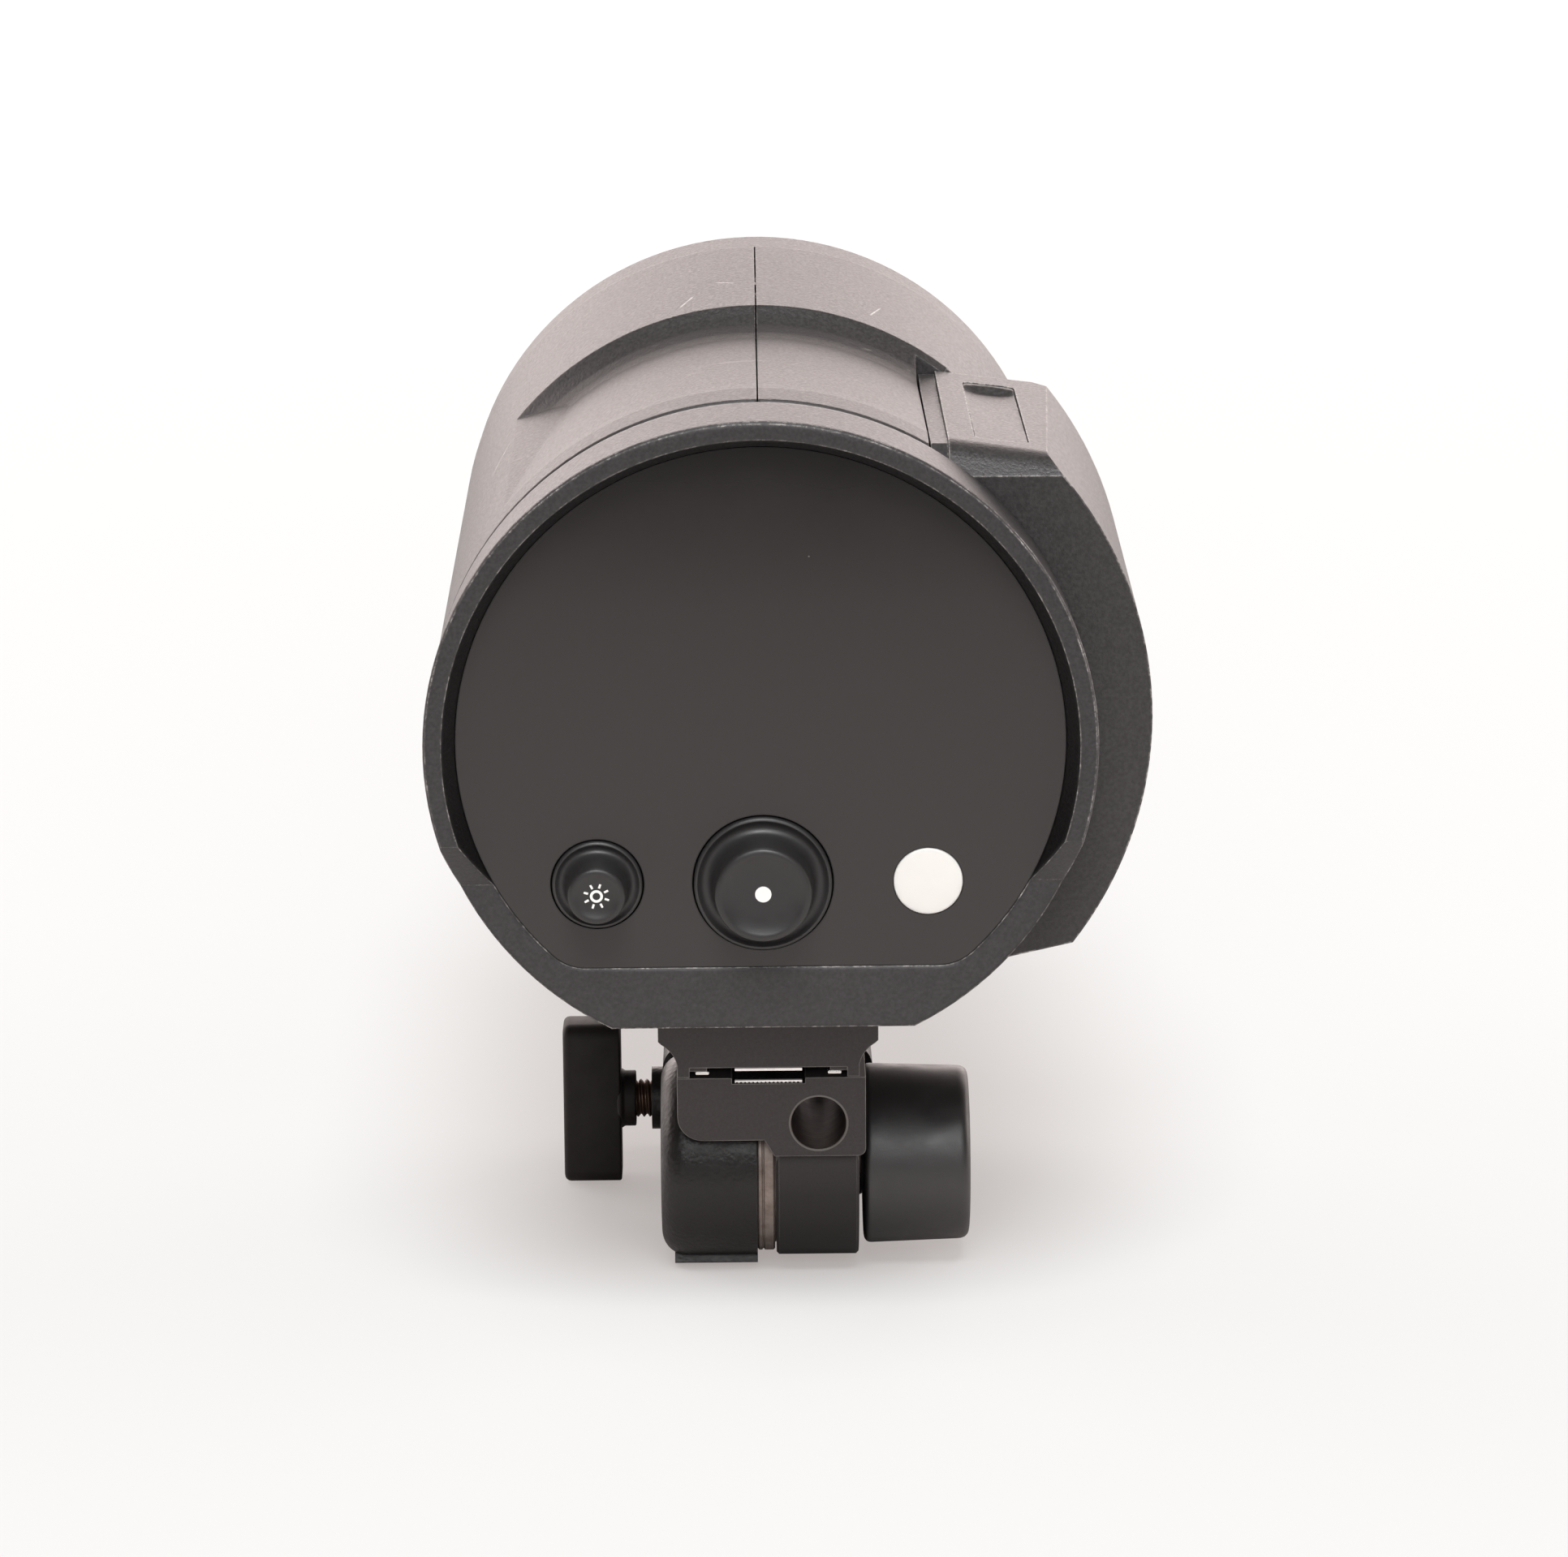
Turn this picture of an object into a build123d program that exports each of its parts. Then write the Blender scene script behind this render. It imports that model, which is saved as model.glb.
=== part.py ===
from build123d import *
import math
import os

# Portable battery flash head on a folding stand adapter, in millimetres.
# Built about the head axis: x to the right seen from behind, y along the flash, z up, with the
# centre of the rear rim at zero. Everything is moved to its standing place when it is written.

# Head casing
rim_radius = 63.0
rim_land = 3.5
skirt_length = 18.7
skirt_draft = 0.6
panel_setback = 5.0
bezel_slope = 2.3
panel_radius = rim_radius - rim_land - bezel_slope
panel_thickness = 2.0
panel_ledge = 2.6
panel_cut = 13.4
panel_bottom = panel_radius - panel_cut
panel_corner = 9.0
chin_cut = 7.1
chin_bottom = rim_radius - chin_cut
chin_ramp_top = 18.0
chin_ramp_bottom = 27.0
shell_step = 0.7
shell_radius = rim_radius - shell_step
shell_wall = 2.4
shell_gap = 2.4
shell_cut = 4.8
shell_bottom = shell_radius - shell_cut
seam_gap = 0.3
body_length = 180.0
ring_length = 14.5
shell_front = body_length - ring_length
front_edge = 2.0

# Grip recess on top
recess_start = 31.0
recess_deep = 98.0
recess_end = 106.0
recess_depth = 4.3
recess_left = 141.0
recess_ramp = 11.0
recess_right = 52.0

# Rear controls
control_rise = 16.7
control_drop = panel_bottom - control_rise
knob_x = 0.2
knob_skirt_radius = 13.0
knob_boss_radius = 9.3
knob_reach = 8.2
dot_radius = 1.55
button_x = -31.0
button_skirt_radius = 8.5
button_boss_radius = 5.6
button_reach = 8.0
sensor_x = 31.3
sensor_radius = 6.5
control_gap = 0.35
shaft_radius = 3.0
shaft_fit = 0.04

# Light front
collar_radius = 50.0
collar_rubber = 2.5
collar_length = 58.0
collar_front = body_length + collar_length
core_wall = 2.4
bowl_front_radius = 43.0
bowl_back_radius = 25.0
bowl_depth = 38.0
bowl_wall = 1.2
cover_radius = 47.6
cover_length = 6.0
glass_thickness = 3.5
tube_ring_radius = 17.0
tube_bore_radius = 3.8
base_radius = 24.4
base_thickness = 7.0

# Inside the head
board_rear = 13.0
board_thickness = 1.6
board_radius = rim_radius - skirt_draft - shell_wall - 2.7
post_radius = 2.6
post_side = board_radius - 2.1
post_low_x = 30.0
post_low_z = 3.8 - panel_bottom - post_radius * 3
post_places = [(-post_side, 0.0), (post_side, 0.0), (-post_low_x, post_low_z), (post_low_x, post_low_z)]
display_half_width = 36.0
display_low = -8.0
display_high = 38.0
display_thickness = 4.4
encoder_half = 7.0
encoder_depth = 6.0
switch_half = 3.0
switch_gap = 1.15
spigot_length = 6.0
chassis_rear = 124.0
chassis_thickness = 2.0
fan_size = 60.0
fan_depth = 15.0
fan_radius = 27.5
blade_count = 7
cap_radius = 12.4
cap_length = 64.0
cap_gap = 1.0
cap_pitch = 2 * cap_radius + cap_gap
cap_ring = shell_radius - recess_depth - shell_wall - cap_radius - cap_gap
cap_board_radius = shell_radius - shell_wall - 5.9
cap_board_thickness = 1.6
standoff_radius = 3.0
standoff_angles = (152.0, 208.0, 66.0, 285.0)
cap_board_rear = 112.0
cap_board_front = cap_board_rear + cap_board_thickness
power_board_left = 19.0
choke_radius = 9.0
choke_thickness = 6.5
vent_count = 20
vent_half = 3.2
vent_inner = collar_radius + 1.6
vent_outer = shell_radius - shell_wall - 4.7
tube_gap_angle = 26.0
groove_count = 5
groove_pitch = 8.0
groove_width = 1.2
groove_depth = 0.5

# Battery pack
pack_proud = 12.0
pack_radius = shell_radius + pack_proud
pack_rear = 20.0
pack_front = 104.0
pack_inner = 32.5
tray_thickness = 3.3
pack_wall = 2.2
pack_edge = math.sqrt(shell_radius ** 2 - pack_inner ** 2)
pack_top_rear = pack_edge + 0.3
pack_top_slope = 4.5
pack_top_front = pack_top_rear - pack_top_slope
pack_top_fall = 2.6
pack_top_round = 7.0
pack_top_width = 20.2
pack_front_bevel = 2.0
pack_bottom = shell_radius - 14.9
pack_bottom_rise = 2.9
pack_bottom_corner = pack_bottom - pack_bottom_rise
pack_rear_bevel = 5.0
bay_gap = 0.5
cell_radius = 9.1
cell_length = 65.0
cell_pitch = 18.7
latch_left = 41.0
latch_right = 51.3
latch_rear = 32.0
latch_front = 95.0
latch_thickness = 2.0
latch_fit = 0.15
latch_dip = 1.3
latch_middle = (latch_left + latch_right) / 2
latch_stem_y = (latch_rear + latch_front) / 2
latch_stem_radius = 2.0
spring_radius = 3.6
spring_bore = 2.6
spring_low = pack_top_front - 9.0
spring_high = pack_top_front - 2.4
bay_left = pack_inner - bay_gap
bay_rear = pack_rear - bay_gap
bay_front = pack_front + bay_gap
bay_top = pack_edge + 0.75
bay_floor = pack_bottom + bay_gap
pack_seam = pack_inner + tray_thickness
pack_arc = math.degrees(math.asin(pack_bottom_corner / pack_radius))
contact_low = -30.0
contact_high = -8.0
contact_rear = 58.0
contact_length = 34.0
contact_depth = 4.0

# Stand adapter
hinge_y = 60.0
rail_height = 20.2
rail_bottom = shell_bottom + rail_height
hinge_height = 24.1
hinge_drop = rail_bottom + hinge_height
hub_radius = 20.2
hub_lip = 1.3
hub_left = -20.5
hub_right = -1.4
washer_right = 2.1
knuckle_right = 18.8
tilt_knob_left = 19.9
tilt_knob_right = 41.0
tilt_knob_radius = 18.0
tilt_knob_taper = 0.65
bolt_radius = 5.0
arm_reach = 66.0
arm_tube_radius = 16.0
socket_radius = 8.1
socket_depth = 38.0
clamp_distance = 44.0
clamp_thread_radius = 4.0
clamp_pitch = 1.25
paddle_length = 33.6
rail_left = -20.6
rail_right = 22.6
rail_rear = 38.0
rail_front = 118.0
plate_thickness = 5.0
umbrella_x = 10.8
umbrella_height = 9.7
umbrella_drop = rail_bottom + umbrella_height
umbrella_radius = 5.5
running_fit = 0.05
body_gap = 0.3
rail_middle = (rail_left + rail_right) / 2
rail_screw_radius = 1.8
rail_screw_inset = 5.5
rail_screw_end = 8.0
slit_half = 15.5
slit_depth = 2.0
channel_depth = 1.2
strip_thickness = 0.8
strip_half = 6.6
tooth_pitch = 0.8
bracket_front = 98.0
bracket_top = rail_bottom + 0.15
plate_low_left = rail_bottom + 13.2
plate_low_right = rail_bottom + 16.6
rail_side = shell_bottom + 12.7
rail_step = 3.7
rail_groove = 4.4
rail_slot_half = 3.2
nut_half = 5.9
nut_length = 12.0
nut_top = rail_bottom - 10.2
bracket_screw_radius = 2.0
bracket_head_radius = 3.6
bracket_head_height = 1.8
base_thick = 3.1
nut_places = (84.0, 93.0)
block_half = arm_tube_radius + 0.3
block_left = hub_left
block_right = 2 * rail_middle - hub_left
block_start = 24.5
boss_radius = 6.5
boss_reach = 2.6
hub_start = -29.5
hub_end = -26.4
paddle_left = -41.4
paddle_depth = 12.0

floor_drop = hinge_drop + hub_radius + hub_lip
droop = math.degrees(math.asin((hub_radius + hub_lip - arm_tube_radius) / arm_reach))
knob_tip = panel_setback - knob_reach
overall_front = collar_front + cover_length
shift_x = (rim_radius - pack_radius) / 2
shift_y = -(overall_front + knob_tip) / 2
shift_z = floor_drop
parts = {}


def block(x0, x1, y0, y1, z0, z1):
    """A box between two corners."""
    box = Box(abs(x1 - x0), abs(y1 - y0), abs(z1 - z0))
    return Pos((x0 + x1) / 2, (y0 + y1) / 2, (z0 + z1) / 2) * box


def rod_x(radius, x0, x1, y=0.0, z=0.0):
    """A cylinder along x."""
    return Pos((x0 + x1) / 2, y, z) * Rot(0, 90, 0) * Cylinder(radius, abs(x1 - x0))


def rod_y(radius, y0, y1, x=0.0, z=0.0):
    """A cylinder along y."""
    return Pos(x, (y0 + y1) / 2, z) * Rot(90, 0, 0) * Cylinder(radius, abs(y1 - y0))


def rod_z(radius, z0, z1, x=0.0, y=0.0):
    """A cylinder along z."""
    return Pos(x, y, (z0 + z1) / 2) * Cylinder(radius, abs(z1 - z0))


def turned_y(points, x=0.0, z=0.0):
    """A body turned about an axis along y, from (radius, y) points."""
    face = make_face(Polyline(*points, close=True))
    return Pos(x, 0, z) * revolve(face, Axis.Y, 360)


def turned_x(points, y=0.0, z=0.0):
    """A body turned about an axis along x, from (x, radius) points."""
    face = make_face(Polyline(*points, close=True))
    return Pos(0, y, z) * revolve(face, Axis.X, 360)


def outline_y(face, y0, y1):
    """An outline drawn in x and z, thickened from y0 to y1."""
    return Pos(0, y1, 0) * extrude(Plane.XZ * face, amount=y1 - y0)


def sector(radius, y0, y1, angle0, angle1):
    """A pie slice about the head axis, between two angles from +x towards +z."""
    count = 4
    step = (angle1 - angle0) / count
    reach = radius / math.cos(math.radians(step / 2))
    points = [(0.0, 0.0)]
    for i in range(count + 1):
        turn = math.radians(angle0 + i * step)
        points.append((reach * math.cos(turn), reach * math.sin(turn)))
    return outline_y(make_face(Polyline(*points, close=True)), y0, y1)


def ring_of(shape, count, start=0.0):
    """Copies of a shape about the head axis."""
    return [Rot(0, start + i * 360 / count, 0) * shape for i in range(count)]


def joined(shapes):
    """One shape from a list of touching shapes."""
    result = shapes[0]
    for shape in shapes[1:]:
        result = result + shape
    return result


def keep(name, shape):
    """Record a finished piece under its name."""
    parts[name] = shape


def panel_outline(margin):
    """The display window's outline, drawn in by a margin: a circle with a flat bottom."""
    disc = Circle(panel_radius - margin)
    low = panel_bottom - margin
    face = disc & (Pos(0, panel_radius - low) * Rectangle(2 * panel_radius, 2 * panel_radius))
    corners = face.vertices().sort_by(Axis.Y)[:2]
    return fillet(corners, panel_corner)


def rear_bezel():
    """Rear rim, chin and skirt in one moulding."""
    skirt = rim_radius - skirt_draft
    back = panel_setback + panel_thickness + 1.5
    ring = turned_y([
        (rim_radius - rim_land, 0), (rim_radius, 0), (skirt, skirt_length),
        (skirt - shell_wall, skirt_length), (skirt - shell_wall, back),
        (panel_radius - panel_ledge, back), (panel_radius - panel_ledge, back - 1.5),
        (panel_radius, panel_setback),
    ])
    plate = rod_y(rim_radius - 1.0, panel_setback, back)
    plate &= block(-rim_radius, rim_radius, 0, back, -rim_radius, -panel_bottom + panel_ledge + 1)
    rear_edge = ring.edges().filter_by(GeomType.CIRCLE)
    rear_edge = [e for e in rear_edge if abs(e.radius - rim_radius) < 0.01]
    ring = chamfer(rear_edge, 0.4)
    bezel = ring + plate
    floor_wall = block(-rim_radius, rim_radius, panel_setback, skirt_length,
                       -chin_bottom, -chin_bottom + shell_wall)
    floor_wall &= rod_y(skirt - 0.3, panel_setback, skirt_length)
    bezel += floor_wall
    bezel -= outline_y(panel_outline(0), panel_setback - 1, back - 1.5)
    bezel -= outline_y(panel_outline(panel_ledge), 0, back + 1)
    bezel -= block(-80, 80, -1, skirt_length + 1, -80, -chin_bottom)
    ramp = make_face(Polyline(
        (-1, -chin_ramp_top + 1.8), (0, -chin_ramp_top), (panel_setback, -chin_ramp_bottom),
        (panel_setback, -80), (-1, -80), close=True))
    bezel -= Pos(-80, 0, 0) * extrude(Plane.YZ * ramp, amount=160)
    for x, z in post_places:
        bezel += rod_y(post_radius, back - 1, board_rear, x, z)
    return bezel


def display_panel():
    """Smoked window with holes for the controls."""
    panel = outline_y(panel_outline(0.1), panel_setback, panel_setback + panel_thickness)
    front = panel_setback + panel_thickness + 1
    panel -= rod_y(knob_skirt_radius + control_gap, 0, front, knob_x, -control_drop)
    panel -= rod_y(button_skirt_radius + control_gap, 0, front, button_x, -control_drop)
    panel -= rod_y(sensor_radius + 0.1, 0, front, sensor_x, -control_drop)
    return panel


def control_knob():
    """Turning and pressing knob: a flared skirt and a dished boss."""
    seat = panel_setback
    tip = knob_tip
    boss = knob_boss_radius
    skirt = knob_skirt_radius
    knob = turned_y([
        (shaft_radius + shaft_fit, seat + 1.6), (skirt - 0.3, seat + 1.6), (skirt, seat + 1.2),
        (skirt, seat - 0.6), (skirt - 0.5, seat - 1.1), (boss + 2.2, seat - 1.3),
        (boss + 1.0, seat - 2.0), (boss + 0.4, seat - 3.2), (boss, seat - knob_reach * 0.78),
        (boss - 0.25, tip + 0.5), (boss - 0.9, tip), (boss - 1.6, tip), (boss - 2.3, tip + 0.7),
        (dot_radius, tip + 1.0), (dot_radius, tip + 2.0), (shaft_radius + shaft_fit, tip + 2.0),
    ], knob_x, -control_drop)
    return knob


def knob_dot():
    """White index dot let into the middle of the knob."""
    return rod_y(dot_radius - 0.02, knob_tip + 0.9, knob_tip + 2.0, knob_x, -control_drop)


def knob_plunger():
    """Steel shaft that carries the knob and presses the encoder's switch."""
    shaft = rod_y(shaft_radius, knob_tip + 2.1, board_rear + 4.0, knob_x, -control_drop)
    return shaft + rod_y(shaft_radius + 1.2, panel_setback + 1.9, panel_setback + 2.6, knob_x, -control_drop)


def model_button():
    """Modelling light button, hinged on its lower edge."""
    seat = panel_setback
    tip = seat - button_reach
    boss = button_boss_radius
    skirt = button_skirt_radius
    return turned_y([
        (0, seat + 1.6), (skirt, seat + 1.6), (skirt, seat - 0.3), (skirt - 0.4, seat - 0.8),
        (boss + 1.5, seat - 1.2), (boss + 0.6, seat - 2.4), (boss, seat - button_reach * 0.8),
        (boss - 0.3, tip + 0.4), (boss - 0.9, tip), (boss - 1.4, tip), (boss - 1.9, tip + 0.5),
        (0, tip + 0.6),
    ], button_x, -control_drop)


def sensor_window():
    """White diffusing window of the sync sensor, slightly domed."""
    seat = panel_setback
    return turned_y([
        (0, seat + panel_thickness + 1.0), (sensor_radius - 1, seat + panel_thickness + 1.0),
        (sensor_radius, seat + panel_thickness), (sensor_radius, seat), (sensor_radius - 0.6, seat - 0.25),
        (sensor_radius * 0.6, seat - 0.5), (0, seat - 0.6),
    ], sensor_x, -control_drop)


def rear_electronics():
    """Display, its board, the encoder and the switch behind the window."""
    back = panel_setback + panel_thickness
    keep("display_module", block(-display_half_width, display_half_width, back, back + display_thickness,
                                 display_low, display_high))
    board = rod_y(board_radius, board_rear, board_rear + board_thickness)
    board &= block(-board_radius, board_radius, 0, shell_front, -chin_bottom + shell_wall + 1,
                   board_radius - 12.0)
    board -= rod_y(shaft_radius + 1.0, 0, shell_front, knob_x, -control_drop)
    keep("rear_board", board)
    front = board_rear + board_thickness
    encoder = block(knob_x - encoder_half, knob_x + encoder_half, front, front + encoder_depth,
                    -control_drop - encoder_half, -control_drop + encoder_half)
    encoder += rod_y(shaft_radius + 1.0, board_rear, board_rear + 2.0, knob_x, -control_drop)
    encoder -= rod_y(shaft_radius + running_fit, 0, board_rear + 5.2, knob_x, -control_drop)
    keep("encoder", encoder)
    switch = block(button_x - switch_half, button_x + switch_half, panel_setback + 1.6 + switch_gap,
                   board_rear, -control_drop - switch_half, -control_drop + switch_half)
    keep("model_switch", switch)


def shell_body():
    """Both body halves as one hollow drum, with the grip recess and the battery bay."""
    rear = skirt_length + shell_gap
    inner = shell_radius - shell_wall
    liner = shell_radius - recess_depth - shell_wall
    spigot = rim_radius - skirt_draft - shell_wall - 0.3
    body = turned_y([
        (spigot - 1.8, rear - spigot_length), (spigot, rear - spigot_length), (spigot, rear),
        (shell_radius - 0.5, rear), (shell_radius, rear + 0.5), (shell_radius, shell_front),
        (inner, shell_front), (inner, rear + 2.4), (spigot - 1.8, rear + 2.4),
    ])
    grip = turned_y([
        (liner, recess_start - 4), (inner + 1, recess_start - 4), (inner + 1, recess_end + shell_wall),
        (liner, recess_end + shell_wall),
    ])
    body += grip & sector(80, 0, body_length, recess_right - 2, recess_left + 2)
    flat = block(-40, 40, rear, shell_front, -shell_bottom, -shell_bottom + shell_wall)
    body += flat & rod_y(inner + 1, rear, shell_front)
    body -= block(-40, 40, 0, rear, -80, -chin_bottom + shell_wall + body_gap)
    floor = shell_radius - recess_depth
    scoop = turned_y([
        (shell_radius + 0.01, recess_start), (shell_radius - recess_depth * 0.12, recess_start + 6),
        (floor, recess_deep - 3), (floor + 0.35, recess_deep + 0.5), (floor + 1.3, recess_deep + 3.5),
        (floor + 2.8, recess_deep + 6), (shell_radius + 0.01, recess_end), (shell_radius + 5, recess_end),
        (shell_radius + 5, recess_start),
    ])
    bay_wall = block(bay_left - shell_wall, 80, bay_rear - shell_wall, bay_front + shell_wall,
                     -bay_floor - shell_wall, bay_top + shell_wall)
    bay_wall &= rod_y(shell_radius - 1.0, bay_rear - shell_wall, bay_front + shell_wall)
    rear_trim = turned_y([(spigot, 0), (90, 0), (90, rear), (spigot, rear)])
    body += bay_wall - rear_trim
    body -= block(bay_left, 90, bay_rear, bay_front, -bay_floor, bay_top)
    end, foot = math.radians(recess_left), math.radians(recess_left - recess_ramp)
    ramp = make_face(Polyline((floor * math.cos(foot), floor * math.sin(foot)),
                              (shell_radius * math.cos(end), shell_radius * math.sin(end)),
                              (90 * math.cos(end), 90 * math.sin(end)),
                              (90 * math.cos(foot), 90 * math.sin(foot)), close=True))
    body -= scoop & sector(90, 0, body_length, recess_right, recess_left - recess_ramp)
    body -= scoop & outline_y(ramp, 0, body_length)
    body -= block(-80, 80, 0, body_length, -80, -shell_bottom)
    return body - rail_screw_holes()


def rail_screw_places():
    """The four corners of the foot rail where a screw goes up into the body."""
    return [(x, y) for x in (rail_left + rail_screw_inset, rail_right - rail_screw_inset)
            for y in (rail_rear + rail_screw_end, rail_front - rail_screw_end)]


def rail_screw_holes():
    """Clearance holes for the rail screws, through the body's floor and into the rail."""
    radius = rail_screw_radius + running_fit
    return joined([rod_z(radius, -shell_bottom - 8.1, -shell_bottom + 5, x, y)
                   for x, y in rail_screw_places()])


def left_shell(body):
    """Left half of the body."""
    return body & block(-90, -seam_gap / 2, 0, body_length, -90, 90)


def right_shell(body):
    """Right half of the body, with the battery bay."""
    return body & block(seam_gap / 2, 90, 0, body_length, -90, 90)


def front_ring():
    """Bevelled ring that closes the body and lets the cooling air out forwards."""
    inner = shell_radius - shell_wall
    hole = collar_radius - collar_rubber + 0.1
    ring = turned_y([
        (hole, body_length - 2.4), (inner - 3, body_length - 2.4), (inner - 3, shell_front - 6),
        (inner - 0.2, shell_front - 6), (inner - 0.2, shell_front + 0.2),
        (shell_radius - 0.1, shell_front + 0.2),
        (shell_radius - 0.4, body_length - front_edge), (shell_radius - 1.0, body_length - 0.6),
        (shell_radius - front_edge - 0.4, body_length), (hole, body_length),
    ])
    slot = block(-vent_half, vent_half, body_length - 4, body_length + 1, vent_inner, vent_outer)
    for cut in ring_of(slot, vent_count):
        ring -= cut
    floor_wall = block(-40, 40, shell_front + 0.2, body_length - 1, -shell_bottom, -shell_bottom + shell_wall)
    ring += floor_wall & rod_y(shell_radius - 1, 0, body_length)
    ring -= block(-80, 80, 0, body_length + 1, -80, -shell_bottom)
    ring -= block(-80, 80, 0, shell_front + 0.2, -80, -shell_bottom + shell_wall + body_gap)
    return ring


def chassis():
    """Bulkhead across the body that carries the fan and the capacitor board."""
    inner = shell_radius - shell_wall
    plate = rod_y(inner, chassis_rear, chassis_rear + chassis_thickness)
    plate &= block(-80, 80, 0, body_length, -shell_bottom + shell_wall, 80)
    plate -= rod_y(fan_radius + 0.6, 0, body_length)
    standoff = chassis_rear - cap_board_front
    ring = cap_board_radius - standoff_radius - 1.0
    for turn in standoff_angles:
        x, z = ring * math.cos(math.radians(turn)), ring * math.sin(math.radians(turn))
        plate += rod_y(standoff_radius, chassis_rear - standoff, chassis_rear + 1, x, z)
    return plate


def power_section():
    """Flash capacitors on their board, and the charging and control boards."""
    board = rod_y(cap_board_radius, cap_board_rear, cap_board_front)
    board &= block(-cap_board_radius, bay_left - shell_wall - 2, 0, body_length,
                   -shell_bottom + shell_wall + 1, cap_board_radius)
    keep("capacitor_board", board)
    step = 2 * math.asin(cap_pitch / 2 / cap_ring)
    places = [(-cap_ring, 0.0)]
    places += [(-cap_ring * math.cos(step), side * cap_ring * math.sin(step)) for side in (-1, 1)]
    places += [(x + cap_pitch, z) for x, z in places]
    caps = [rod_y(cap_radius, cap_board_rear - cap_length, cap_board_rear, x, z) for x, z in places]
    caps = [fillet(cap.edges().filter_by(GeomType.CIRCLE).sort_by(Axis.Y)[0], 1.2) for cap in caps]
    keep("capacitor_bank", Compound(children=[cap.solid() for cap in caps]))
    rear = cap_board_rear - cap_length - 8
    keep("power_board", block(power_board_left, power_board_left + board_thickness, rear, cap_board_rear,
                              -cap_length * 0.6, cap_length * 0.6))
    choke_left = power_board_left - choke_thickness
    choke_y = rear + 2.4 * choke_radius
    choke = rod_x(choke_radius, choke_left, power_board_left, choke_y, choke_radius + 5)
    choke -= rod_x(choke_radius * 0.45, choke_left - 1, power_board_left + 1, choke_y, choke_radius + 5)
    keep("charging_choke", choke)


def fan():
    """Cooling fan: a square frame on the bulkhead and a bladed rotor on its pin."""
    rear = chassis_rear + chassis_thickness
    front = rear + fan_depth
    half = fan_size / 2
    frame = block(-half, half, rear, front, -half, half)
    frame = fillet(frame.edges().filter_by(Axis.Y), 5.0)
    frame -= rod_y(fan_radius + 0.6, rear - 1, front + 1)
    frame += rod_y(10.0, front - 2.0, front)
    for turn in range(4):
        frame += Rot(0, 45 + turn * 90, 0) * block(-1.5, 1.5, front - 2.0, front, 9, fan_radius + 2)
    frame += rod_y(1.5, rear + 2.0, front - 1)
    keep("fan_frame", frame)
    hub = rod_y(12.0, rear + 0.8, front - 2.6) - rod_y(1.5 + running_fit, rear, front)
    blade = Pos(0, rear + fan_depth / 2 - 0.9, 19.4) * Rot(0, 0, 38) * Box(12, 1.4, 15.6)
    for copy in ring_of(blade, blade_count):
        hub += copy
    keep("fan_rotor", hub & rod_y(fan_radius, rear + 0.8, front - 2.6))


def flash_tube(seat, height):
    """Ring flash tube with a gap, on two legs that plug into its base."""
    section = Pos(tube_ring_radius, height) * Circle(tube_bore_radius)
    tube = revolve(section, Axis.Y, 360 - tube_gap_angle)
    for turn in (0, 360 - tube_gap_angle):
        end = Rot(0, turn, 0) * Pos(tube_ring_radius, height, 0)
        tube += end * Sphere(tube_bore_radius)
        tube += Rot(0, turn, 0) * rod_y(tube_bore_radius - 0.8, seat, height, tube_ring_radius, 0)
    return tube


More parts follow.
